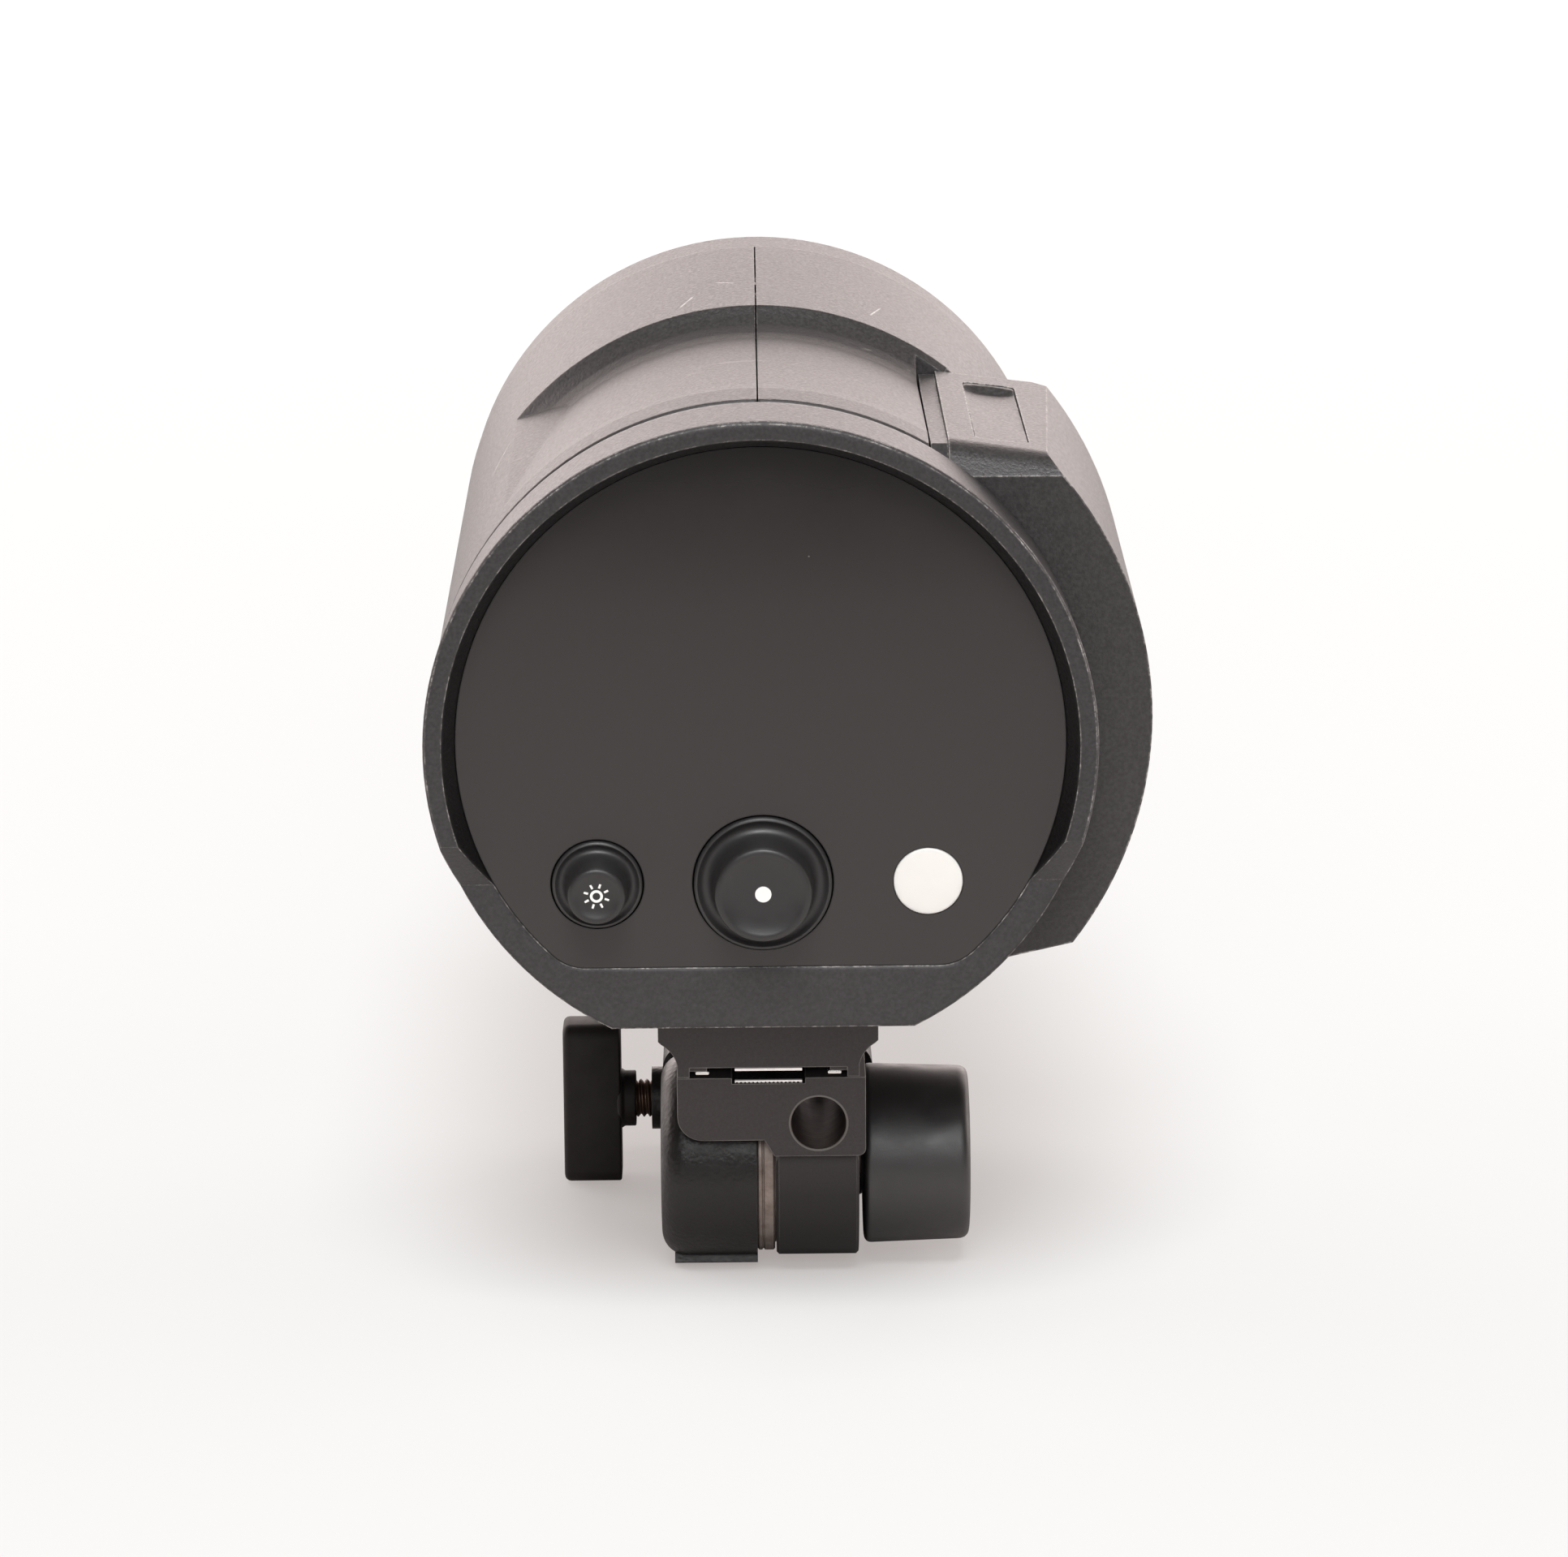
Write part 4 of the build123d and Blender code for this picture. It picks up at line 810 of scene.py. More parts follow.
# The rim's pale edges are partly wear and partly painted highlight where they catch the light from above.
REAR_RIM = RearRimMoulding("rear_rim_spark_textured_abs", "2d2b2c", 0.42, worn="cdc8c4", wear=1.0,
                           wear_band_mm=0.5, blend_mm=1.6)
PACK = SparkTexturedPlastic("battery_spark_textured_abs", "302e2e", 0.42, worn="cdc8c4", wear=1.0,
                            wear_band_mm=0.6)
# Cast acrylic in front of the display: the hard coat makes it satin, and it looks warm dark grey.
WINDOW = SmokedAcrylic("window_smoked_acrylic", "2b2827", 0.2, 1.49)
# Glass of the display behind it: nearly black and smoother.
DISPLAY = SmokedAcrylic("display_dark_glass", "1b1b1d", 0.15, 1.5)
# Moulded nylon. The control knob is the palest, the lock knob is handled most and so has the most
# sheen, and the paddle has gone dull.
KNOB = SatinMoulding("knob_satin_nylon", "262525", 0.42, 1.53)
LOCK_KNOB = SatinMoulding("lock_knob_satin_nylon", "181616", 0.44, 1.53, specular=0.85)
PADDLE = SatinMoulding("paddle_dull_nylon", "1a1412", 0.6, 1.53, specular=0.4)
# Coated castings and extrusions of the adapter: the coat itself isn't metal, so it has an IOR of its own.
CAST = PowderCoatedCasting("adapter_powder_coated_casting", "1b1918", 0.36, 1.5, specular=0.38)
ANODISED = BlastedAnodised("bracket_blasted_anodised", "363231", 0.5, 1.5, specular=0.4)
# Steel of the sliding seat: bright where it is polished or freshly cut, and black elsewhere, a black that is
# partly blackening and partly painted shade of the rail's slit.
POLISHED = TurnedMetal("strip_polished_steel", "dedcd8", 0.18, metallic=1.0, tarnish_share=0.05)
STRIP = CutStrip("strip_blackened_steel_painted_shade", "1b1a1a", 0.35)
RACK = CutStrip("rack_blackened_steel_painted_shade", "1b1a1a", 0.35, burnished_to_mm=44.75)
# Turned steel: blackened in the knob, brushed on the washer and browned by oil and rust on the screw.
# A film of oxide and oil makes each less metallic than clean steel.
BLACK_STEEL = TurnedMetal("insert_blackened_steel", "1d1c1c", 0.4, metallic=0.7, tarnish_share=0.1)
WASHER = TurnedMetal("washer_brushed_steel", "978b84", 0.42, metallic=0.6, tarnish_share=0.6)
THREAD = TurnedMetal("screw_browned_steel", "6e5a4e", 0.42, metallic=0.85, tarnish_share=0.6)
# Aluminium laid bare round the umbrella hole by the shafts that go through it: dull grey and grimy.
RUBBED_EDGE = TurnedMetal("rim_rubbed_aluminium", "6f6c69", 0.45, metallic=0.5, along=Axis.Y,
                          tarnish_share=0.3)
BORE = TurnedMetal("bore_bare_aluminium", "3d332f", 0.5, metallic=0.5, along=Axis.Y, tarnish_share=0.5)
# Clean metals: machined brass, bright-dipped and anodised aluminium sheet, and enamelled copper wire.
BRASS = TurnedMetal("bush_machined_brass", "b5985a", 0.35, metallic=1.0)
REFLECTOR = TurnedMetal("reflector_bright_anodised", "e2e3e4", 0.25, metallic=1.0, along=Axis.Y,
                        tarnish_share=0.0)
COPPER = TurnedMetal("choke_enamelled_copper", "b0653a", 0.35, metallic=1.0)
# Soft parts: a black ring of painted shade deep in the body's seam, and the ribbed band of silicone.
SEAM_SHADE = MattRubber("seam_shade_black", "0a0909", 0.9, 1.41, specular=0.2, dust="151414")
RUBBER = MattRubber("collar_silicone_rubber", "232222", 0.8, 1.41)
# The sensor's opal acrylic, and the white ink of the sun and the knob's dot.
OPAL = WhiteDiffuser("sensor_opal_acrylic", "e6e4df", 0.3, 1.49)
INK = PrintedInk("icon_screen_printed_ink", "f2f1ee", 0.5)
# Frosted cover and clear tube.
FROSTED = ClearGlass("cover_frosted_glass", "f3f5f4", 0.35, 1.47)
QUARTZ = ClearGlass("flash_tube_quartz", "fbfcfd", 0.05, 1.46)
# Inner parts, which show only when the light is taken apart.
CERAMIC = PlainPart("base_unglazed_ceramic", "d8d3c9", 0.8)
PHOSPHOR = PlainPart("led_phosphor_silicone", "e0b94a", 0.35)
BOARD = PlainPart("board_solder_mask", "1f4a30", 0.4)
DARK_PART = PlainPart("inner_black_moulding", "232323", 0.55)
SLEEVE = PlainPart("capacitor_sleeve", "2b3040", 0.35)
CELL = PlainPart("cell_shrink_sleeve", "35507e", 0.4)
# The floor of the studio, which is no part of the flash.
PAPER = StudioPaper("floor_matt_paper", "e2dedc", 0.9, specular=0.1)


_MADE: Dict[str, bpy.types.Material] = {}


def surface(finish: Finish) -> bpy.types.Material:
    """Give a finish's material, made once and shared by the pieces that have it.

    Args:
        finish: the finish.

    Returns:
        Its material.
    """
    if finish.name not in _MADE:
        _MADE[finish.name] = finish.material()
    return _MADE[finish.name]


def near(corner: Point, *offsets: Point) -> List[Point]:
    """Give the points of a profile that lie at some offsets from one of its corners."""
    return [(corner[0] + out, corner[1] + along) for out, along in offsets]


def smooth_curve(handles: Sequence[Point], count: int) -> List[Point]:
    """Points of a smooth profile curve.

    Args:
        handles: its first point, the handle that it leaves towards, the one that it arrives from and
            its last point.
        count: how many points it has.

    Returns:
        The points, both ends among them.
    """
    knots = interpolate_bezier(*(Vector((out, along, 0.0)) for out, along in handles), count)
    return [(knot.x, knot.y) for knot in knots]


def round_edges(mesh: bmesh.types.BMesh, edges: Sequence[bmesh.types.BMEdge], radius: float,
                flats: int) -> None:
    """Round some edges of a mesh.

    Args:
        mesh: the mesh.
        edges: the edges.
        radius: how far the rounding reaches from each edge, in millimetres.
        flats: how many flats go round each edge.
    """
    bmesh.ops.bevel(mesh, geom=edges, offset=radius * MM, offset_type="OFFSET", segments=flats, profile=0.5,
                    affect="EDGES", clamp_overlap=True, material=-1)


def turned(profile: Sequence[Point], centre: Vector, axis: Axis, steps: int = 96,
           soften: float = 0.0) -> bmesh.types.BMesh:
    """Turn a closed profile about an axis, as on a lathe.

    Args:
        profile: (radius, place along the axis) points in millimetres.
        centre: the point on the axis that the places are measured from, in metres.
        axis: the axis.
        steps: how many flats go round.
        soften: the radius in millimetres that rounds the turned edges.

    Returns:
        The turned mesh, with its faces pointing outwards.
    """
    mesh = bmesh.new()
    across = Axis.Z.value if axis is not Axis.Z else Axis.X.value
    line = [mesh.verts.new(centre + (across * radius + axis.value * along) * MM)
            for radius, along in profile]
    edges = [mesh.edges.new(pair) for pair in zip(line, line[1:] + line[:1])]
    bmesh.ops.spin(mesh, geom=line + edges, cent=centre, axis=axis.value, angle=math.tau, steps=steps,
                   use_merge=True)
    bmesh.ops.remove_doubles(mesh, verts=mesh.verts, dist=2.0 * TOUCH)
    bmesh.ops.recalc_face_normals(mesh, faces=mesh.faces)
    if soften > 0.0:
        rings = [edge for edge in mesh.edges
                 if abs((edge.verts[0].co - edge.verts[1].co).dot(axis.value)) < TOUCH
                 and len(edge.link_faces) == 2 and edge.calc_face_angle() > CORNER_TURN]
        round_edges(mesh, rings, soften, 3)
    return mesh


def slab(low: Vector, high: Vector, soften: float = 0.0, flats: int = 3) -> bmesh.types.BMesh:
    """Make a block with rounded edges.

    Args:
        low: its lowest corner in metres.
        high: its highest corner in metres.
        soften: the radius of its edges in millimetres.
        flats: how many flats go round each edge.

    Returns:
        The block.
    """
    mesh = bmesh.new()
    size = high - low
    place = Matrix.Translation((low + high) / 2.0) @ Matrix.Diagonal((size.x, size.y, size.z, 1.0))
    bmesh.ops.create_cube(mesh, size=1.0, matrix=place)
    if soften > 0.0:
        round_edges(mesh, mesh.edges[:], soften, flats)
    return mesh


def edges_at(mesh: bmesh.types.BMesh, axis: Axis, along: float) -> List[bmesh.types.BMEdge]:
    """Find the edges that lie flat at one place along an axis.

    Args:
        mesh: the mesh.
        axis: the axis.
        along: the place along it, in metres.

    Returns:
        The edges.
    """
    return [edge for edge in mesh.edges
            if all(abs(vert.co.dot(axis.value) - along) < 10.0 * TOUCH for vert in edge.verts)]


def join(first: bmesh.types.BMesh, second: bmesh.types.BMesh) -> bmesh.types.BMesh:
    """Put a second mesh into the first.

    Args:
        first: the mesh that takes the other in.
        second: the mesh that goes into it and is used up.

    Returns:
        The first mesh.
    """
    data = bpy.data.meshes.new("joined")
    second.to_mesh(data)
    second.free()
    first.from_mesh(data)
    bpy.data.meshes.remove(data)
    return first


def drooped(mesh: bmesh.types.BMesh) -> bmesh.types.BMesh:
    """Turn a mesh that was built straight ahead of the hinge down to the arm's resting place."""
    bmesh.ops.rotate(mesh, verts=mesh.verts, cent=head(*HINGE_MM), matrix=Matrix.Rotation(-DROOP, 3, "X"))
    return mesh


def place_piece(name: str, mesh: bmesh.types.BMesh, finish: Finish, body: str,
                replaced: Sequence[str] = (), crease: float = 32.0) -> bpy.types.Object:
    """Turn a mesh into a finished piece of the flash.

    Args:
        name: the piece's name.
        mesh: its mesh, in the row frame.
        finish: its finish.
        body: the CAD body that carries it.
        replaced: CAD nodes that it stands for.
        crease: the angle in degrees past which an edge stays sharp.

    Returns:
        The piece.
    """
    for face in mesh.faces:
        face.smooth = True
    for edge in mesh.edges:
        edge.smooth = len(edge.link_faces) != 2 or edge.calc_face_angle() < math.radians(crease)
    data = bpy.data.meshes.new(name)
    mesh.to_mesh(data)
    mesh.free()
    piece = bpy.data.objects.new(name, data)
    bpy.context.scene.collection.objects.link(piece)
    data.materials.append(surface(finish))
    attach(piece, body)
    if replaced:
        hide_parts(*replaced)
    LOG.info("made %s on %s with %s", name, body, finish.name)
    return piece


@dataclass
class SubAssembly:
    """A group of pieces that are built and dressed together."""

    def dress_nodes(self, finishes: Dict[str, Finish]) -> None:
        """Give CAD nodes their finished materials.

        Args:
            finishes: the finish of each node.
        """
        for node, finish in finishes.items():
            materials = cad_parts[node].data.materials
            materials.clear()
            materials.append(surface(finish))
            LOG.info("dressed %s with %s", node, finish.name)

    def build(self) -> None:
        """Make and dress the pieces."""
        raise NotImplementedError


@dataclass
class RearPanel(SubAssembly):
    """Rear rim, smoked window, control knob, model button and sensor, in millimetres."""

    seat: float = 5.0
    row_height: float = -27.1
    knob_x: float = 0.2
    knob_skirt: float = 13.0
    knob_boss: float = 9.3
    knob_tip: float = -3.2
    shaft: float = 3.04
    dot: float = 1.55
    button_x: float = -31.0
    button_skirt: float = 8.5
    button_boss: float = 5.6
    button_tip: float = -3.0
    sun_ring: Tuple[float, float] = (0.72, 1.22)
    sun_print: Tuple[float, float] = (0.62, 0.54)
    ray_count: int = 8
    ray_turn: float = 0.4
    ray_reach: Tuple[float, float] = (1.62, 2.5)
    ray_width: float = 0.42
    sensor_x: float = 31.3
    sensor: float = 6.5

    def build(self) -> None:
        """Make and dress the rear panel."""
        self.dress_nodes({
            "rear_bezel": REAR_RIM, "display_panel": WINDOW, "knob_dot": INK, "knob_plunger": WASHER,
            "display_module": DISPLAY, "rear_board": BOARD, "encoder": DARK_PART,
            "model_switch": DARK_PART, "control_knob": KNOB, "model_button": KNOB, "sensor_window": OPAL})
        self.turning_knob()
        self.light_button()
        self.sun_mark()
        self.sync_sensor()

    def turning_knob(self) -> None:
        """Control knob: a rimmed skirt that sweeps up to a boss with a dished face round its white dot."""
        foot, waist = (self.knob_skirt, self.seat), (self.knob_boss, self.seat)
        tip = (self.knob_boss, self.knob_tip)
        profile = near((0.0, self.seat), (self.shaft, 1.6))
        profile += near(foot, (-0.3, 1.6), (0.0, 1.3), (0.0, -0.7), (-0.15, -0.95), (-0.55, -1.05))
        sweep = near(foot, (-0.95, -0.75)) + near(waist, (1.9, 0.15), (0.35, -0.3), (0.15, -2.6))
        profile += smooth_curve(sweep, 12)
        profile += near(tip, (0.0, 2.0))
        profile += smooth_curve(near(tip, (-0.1, 1.0), (-0.15, 0.25), (-0.55, 0.0), (-1.2, 0.0)), 7)
        profile += smooth_curve(near(tip, (-1.5, 0.06), (-1.9, 0.3), (-3.0, 0.75), (-4.6, 0.92)), 8)
        profile += near((0.0, self.knob_tip), (self.dot, 1.0), (self.dot, 2.0), (self.shaft, 2.0))
        mesh = turned(profile, head(self.knob_x, 0.0, self.row_height), Axis.Y)
        place_piece("knob_turned", mesh, KNOB, "control_knob", ("control_knob",),
                    crease=50.0)

    def light_button(self) -> None:
        """Modelling light button: the knob's smaller brother, with a flat bowl for a finger."""
        foot, waist = (self.button_skirt, self.seat), (self.button_boss, self.seat)
        tip = (self.button_boss, self.button_tip)
        profile = [(0.0, self.seat + 1.6)]
        profile += near(foot, (0.0, 1.6), (0.0, -0.4), (-0.15, -0.65), (-0.5, -0.75))
        sweep = near(foot, (-0.85, -0.45)) + near(waist, (1.3, 0.2), (0.35, -0.2), (0.15, -2.4))
        profile += smooth_curve(sweep, 10)
        profile += near(tip, (0.0, 1.8))
        profile += smooth_curve(near(tip, (-0.1, 0.9), (-0.15, 0.2), (-0.5, 0.0), (-1.05, 0.0)), 6)
        profile += smooth_curve(near(tip, (-1.3, 0.05), (-1.7, 0.25), (-2.4, 0.52), (-3.4, 0.58)), 6)
        profile += [(0.0, self.button_tip + 0.6)]
        mesh = turned(profile, head(self.button_x, 0.0, self.row_height), Axis.Y)
        place_piece("button_turned", mesh, KNOB, "model_button", ("model_button",),
                    crease=50.0)

    def sun_mark(self) -> None:
        """Sun icon printed on the button: a ring with eight short rays."""
        back, front = (self.button_tip + height for height in self.sun_print)
        inner_wall_shade, outer = self.sun_ring
        centre = head(self.button_x, 0.0, self.row_height)
        mesh = turned([(inner_wall_shade, back), (outer, back), (outer, front), (inner_wall_shade, front)], centre, Axis.Y,
                      steps=48)
        half, (near_end, far_end) = self.ray_width / 2.0, self.ray_reach
        for ray in range(self.ray_count):
            bar = slab(head(self.button_x - half, front, self.row_height + near_end),
                       head(self.button_x + half, back, self.row_height + far_end), soften=0.03, flats=1)
            turn = math.tau * (ray + self.ray_turn) / self.ray_count
            bmesh.ops.rotate(bar, verts=bar.verts, cent=centre, matrix=Matrix.Rotation(turn, 3, "Y"))
            join(mesh, bar)
        place_piece("button_sun_mark", mesh, INK, "model_button")

    def sync_sensor(self) -> None:
        """Sync sensor's opal disc, with a low dome and a crisp rim."""
        rim = (self.sensor, self.seat)
        profile = [(0.0, self.seat + 3.0)]
        profile += near(rim, (-1.0, 3.0), (0.0, 2.0), (0.0, 0.05), (-0.12, -0.12))
        dome = near(rim, (-0.4, -0.2), (-2.0, -0.42), (-4.0, -0.6)) + [(0.0, self.seat - 0.6)]
        profile += smooth_curve(dome, 8)
        mesh = turned(profile, head(self.sensor_x, 0.0, self.row_height), Axis.Y)
        place_piece("sensor_disc", mesh, OPAL, "head", ("sensor_window",),
                    crease=50.0)


@dataclass
class Body(SubAssembly):
    """Two body halves, the front ring and what they hold, in millimetres."""

    shade_ring_radius: Tuple[float, float] = (59.8, 61.7)
    shade_ring_place: Tuple[float, float] = (20.3, 21.05)
    bay_side: float = 31.5
    floor_drop: float = 54.5

    def build(self) -> None:
        """Make and dress the body."""
        self.dress_nodes({
            "left_shell": SHELL, "right_shell": SHELL, "front_ring": CASING, "chassis": DARK_PART,
            "battery_contacts": DARK_PART, "capacitor_board": BOARD, "capacitor_bank": SLEEVE,
            "power_board": BOARD, "charging_choke": COPPER, "fan_frame": DARK_PART,
            "fan_rotor": DARK_PART})
        self.seam_shade_ring()

    def seam_shade_ring(self) -> None:
        """Black ring of painted shade deep in the gap between the rim and the body, as far round as the
        battery's bay.
        """
        inner_wall_shade, outer = self.shade_ring_radius
        rear, front = self.shade_ring_place
        # A matt black ring stands in for the shade deep in the gap.
        ring = turned([(inner_wall_shade, rear), (outer, rear), (outer, front), (inner_wall_shade, front)],
                      head(0.0, 0.0, 0.0), Axis.Y, steps=160)
        for place, way in ((head(self.bay_side, 0.0, 0.0), Axis.X.value),
                           (head(0.0, 0.0, -self.floor_drop), -Axis.Z.value)):
            cut = bmesh.ops.bisect_plane(ring, geom=ring.verts[:] + ring.edges[:] + ring.faces[:],
                                         dist=TOUCH, plane_co=place, plane_no=way, clear_outer=True)
            edges = [item for item in cut["geom_cut"] if isinstance(item, bmesh.types.BMEdge)]
            bmesh.ops.edgenet_fill(ring, edges=edges)
        bmesh.ops.recalc_face_normals(ring, faces=ring.faces)
        place_piece("seam_shade_ring", ring, SEAM_SHADE, "head")


@dataclass
class BatteryPack(SubAssembly):
    """Removable battery with its latch, in millimetres."""

    top_seam: float = 35.8
    top_rear: float = 20.0
    top_height: float = 53.275
    top_slope: float = 4.5 / 84.0
    top_fall: float = 2.6 / 20.2
    latch_x: Tuple[float, float] = (41.03, 51.27)
    latch_y: Tuple[float, float] = (32.03, 94.97)
    latch_thickness: float = 2.0
    latch_corner: float = 2.0
    latch_rim: float = 0.3
    latch_grid: Tuple[int, int] = (22, 90)
    scoop_start: float = 3.0
    scoop_depth: float = 1.45
    scoop_power: float = 1.3
    scoop_crown: float = 0.92
    scoop_sides: float = 0.2
    scoop_wall: float = 91.9
    wall_curve: float = 1.6
    wall_run: float = 1.4
    stem_radius: float = 2.0
    stem_reach: float = 4.7
    stem_chamfer: float = 0.4
    coil_height: Tuple[float, float] = (39.95, 46.55)
    coil_radius: float = 3.1
    coil_wire: float = 1.0
    coil_turns: int = 4
    coil_steps: int = 24
    coil_sides: int = 10
    coil_pressed: float = 0.8

    def build(self) -> None:
        """Make and dress the battery."""
        self.dress_nodes({
            "battery_cover": PACK, "battery_tray": PACK, "battery_latch": PACK,
            "battery_cells": CELL, "battery_board": BOARD})
        middle = head(sum(self.latch_x) / 2.0, sum(self.latch_y) / 2.0, 0.0)
        self.thumb_latch(middle)
        self.latch_coil(middle)

    def top(self, x: float, y: float) -> float:
        """Height of the battery's leaning top above the head's axis."""
        return self.top_height - self.top_slope * (y - self.top_rear) - self.top_fall * (x - self.top_seam)

    def scoop(self, x: float, y: float) -> float:
        """Depth of the thumb scoop, which deepens forward and ends at a wall that is curved like a thumb.

        Args:
            x: the place across the head.
            y: the place along the head.

        Returns:
            The depth.
        """
        across = (x - sum(self.latch_x) / 2.0) / ((self.latch_x[1] - self.latch_x[0]) / 2.0)
        start = self.latch_y[0] + self.scoop_start
        run = min(1.0, max(0.0, (y - start) / (self.scoop_wall - start)))
        crown = math.sqrt(max(0.0, 1.0 - self.scoop_crown * across * across))
        bowl = self.scoop_sides + (1.0 - self.scoop_sides) * crown
        wall = self.scoop_wall - self.wall_curve * across * across
        rise = min(1.0, max(0.0, (y - wall) / self.wall_run))
        eased = 1.0 - rise * rise * (3.0 - 2.0 * rise)
        return self.scoop_depth * run ** self.scoop_power * bowl * eased

    def thumb_latch(self, middle: Vector) -> None:
        """Release latch: a thin plate in the top with its thumb scoop, on a round stem.

        Args:
            middle: the point on the stem's axis at the height of the head's, in metres.
        """
        (left, right), (rear, front) = self.latch_x, self.latch_y
        low, high = head(left, rear, -self.latch_thickness), head(right, front, 0.0)
        mesh = slab(low, high)
        posts = [edge for edge in mesh.edges if abs((edge.verts[0].co - edge.verts[1].co).z) > MM]
        round_edges(mesh, posts, self.latch_corner, 6)
        round_edges(mesh, edges_at(mesh, Axis.Z, high.z), self.latch_rim, 2)
        across, along = self.latch_grid
        cuts = [(Axis.X.value, left + (right - left) * step / across) for step in range(1, across)]
        cuts += [(Axis.Y.value, rear + (front - rear) * step / along) for step in range(1, along)]
        for way, place in cuts:
            bmesh.ops.bisect_plane(mesh, geom=mesh.verts[:] + mesh.edges[:] + mesh.faces[:],
                                   dist=TOUCH, plane_co=head(place, place, 0.0), plane_no=way)
        for vert in mesh.verts:
            x, y, z = vert.co / MM - HEAD_SHIFT_MM
            share = 1.0 + z / self.latch_thickness
            vert.co.z += (self.top(x, y) - share * self.scoop(x, y)) * MM
        under = self.top((left + right) / 2.0, (rear + front) / 2.0) - self.latch_thickness
        start, end = under + 0.3, under - self.stem_reach
        radius, chamfer = self.stem_radius, self.stem_chamfer
        stem = turned([(0.0, start), (radius, start), (radius, end), (radius - chamfer, end - chamfer),
                       (0.0, end - chamfer)], middle, Axis.Z, steps=32)
        place_piece("battery_latch_scooped", join(mesh, stem), PACK, "battery_latch",
                    ("battery_latch",), crease=28.0)

    def latch_coil(self, middle: Vector) -> None:
        """Round wire spring under the latch, wound up from its lower end.

        Args:
            middle: the point on its axis at the height of the head's, in metres.
        """
        low, high = self.coil_height
        radius, out, up = self.coil_wire / 2.0, Axis.X.value, Axis.Z.value
        centre = middle + (out * self.coil_radius + up * (low + radius)) * MM
        angles = (math.tau * side / self.coil_sides for side in range(self.coil_sides))
        mesh = bmesh.new()
        ring = [mesh.verts.new(centre + (out * math.cos(angle) + up * math.sin(angle)) * radius * MM)
                for angle in angles]
        edges = [mesh.edges.new(pair) for pair in zip(ring, ring[1:] + ring[:1])]
        steps = self.coil_turns * self.coil_steps
        rise = (high - low - self.coil_wire) * MM / steps
        bmesh.ops.spin(mesh, geom=ring + edges, cent=middle, axis=up, angle=math.tau * self.coil_turns,
                       steps=steps, use_merge=False, dvec=up * rise)
        bmesh.ops.holes_fill(mesh, edges=[edge for edge in mesh.edges if edge.is_boundary], sides=0)
        bmesh.ops.recalc_face_normals(mesh, faces=mesh.faces)
        coil = place_piece("latch_spring_wound", mesh, WASHER, "battery", ("latch_spring",),
                           crease=50.0)
        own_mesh(coil)


@dataclass
class LightFront(SubAssembly):
    """Collar for light shapers, reflector, flash tube and front glass."""

    def build(self) -> None:
        """Make and dress the light front."""
        self.dress_nodes({
            "mount_collar": RUBBER, "collar_core": DARK_PART, "cover_ring": ANODISED,
            "glass_cover": FROSTED, "reflector_bowl": REFLECTOR, "flash_tube": QUARTZ,
            "tube_base": CERAMIC, "base_carrier": DARK_PART, "modelling_led": PHOSPHOR})


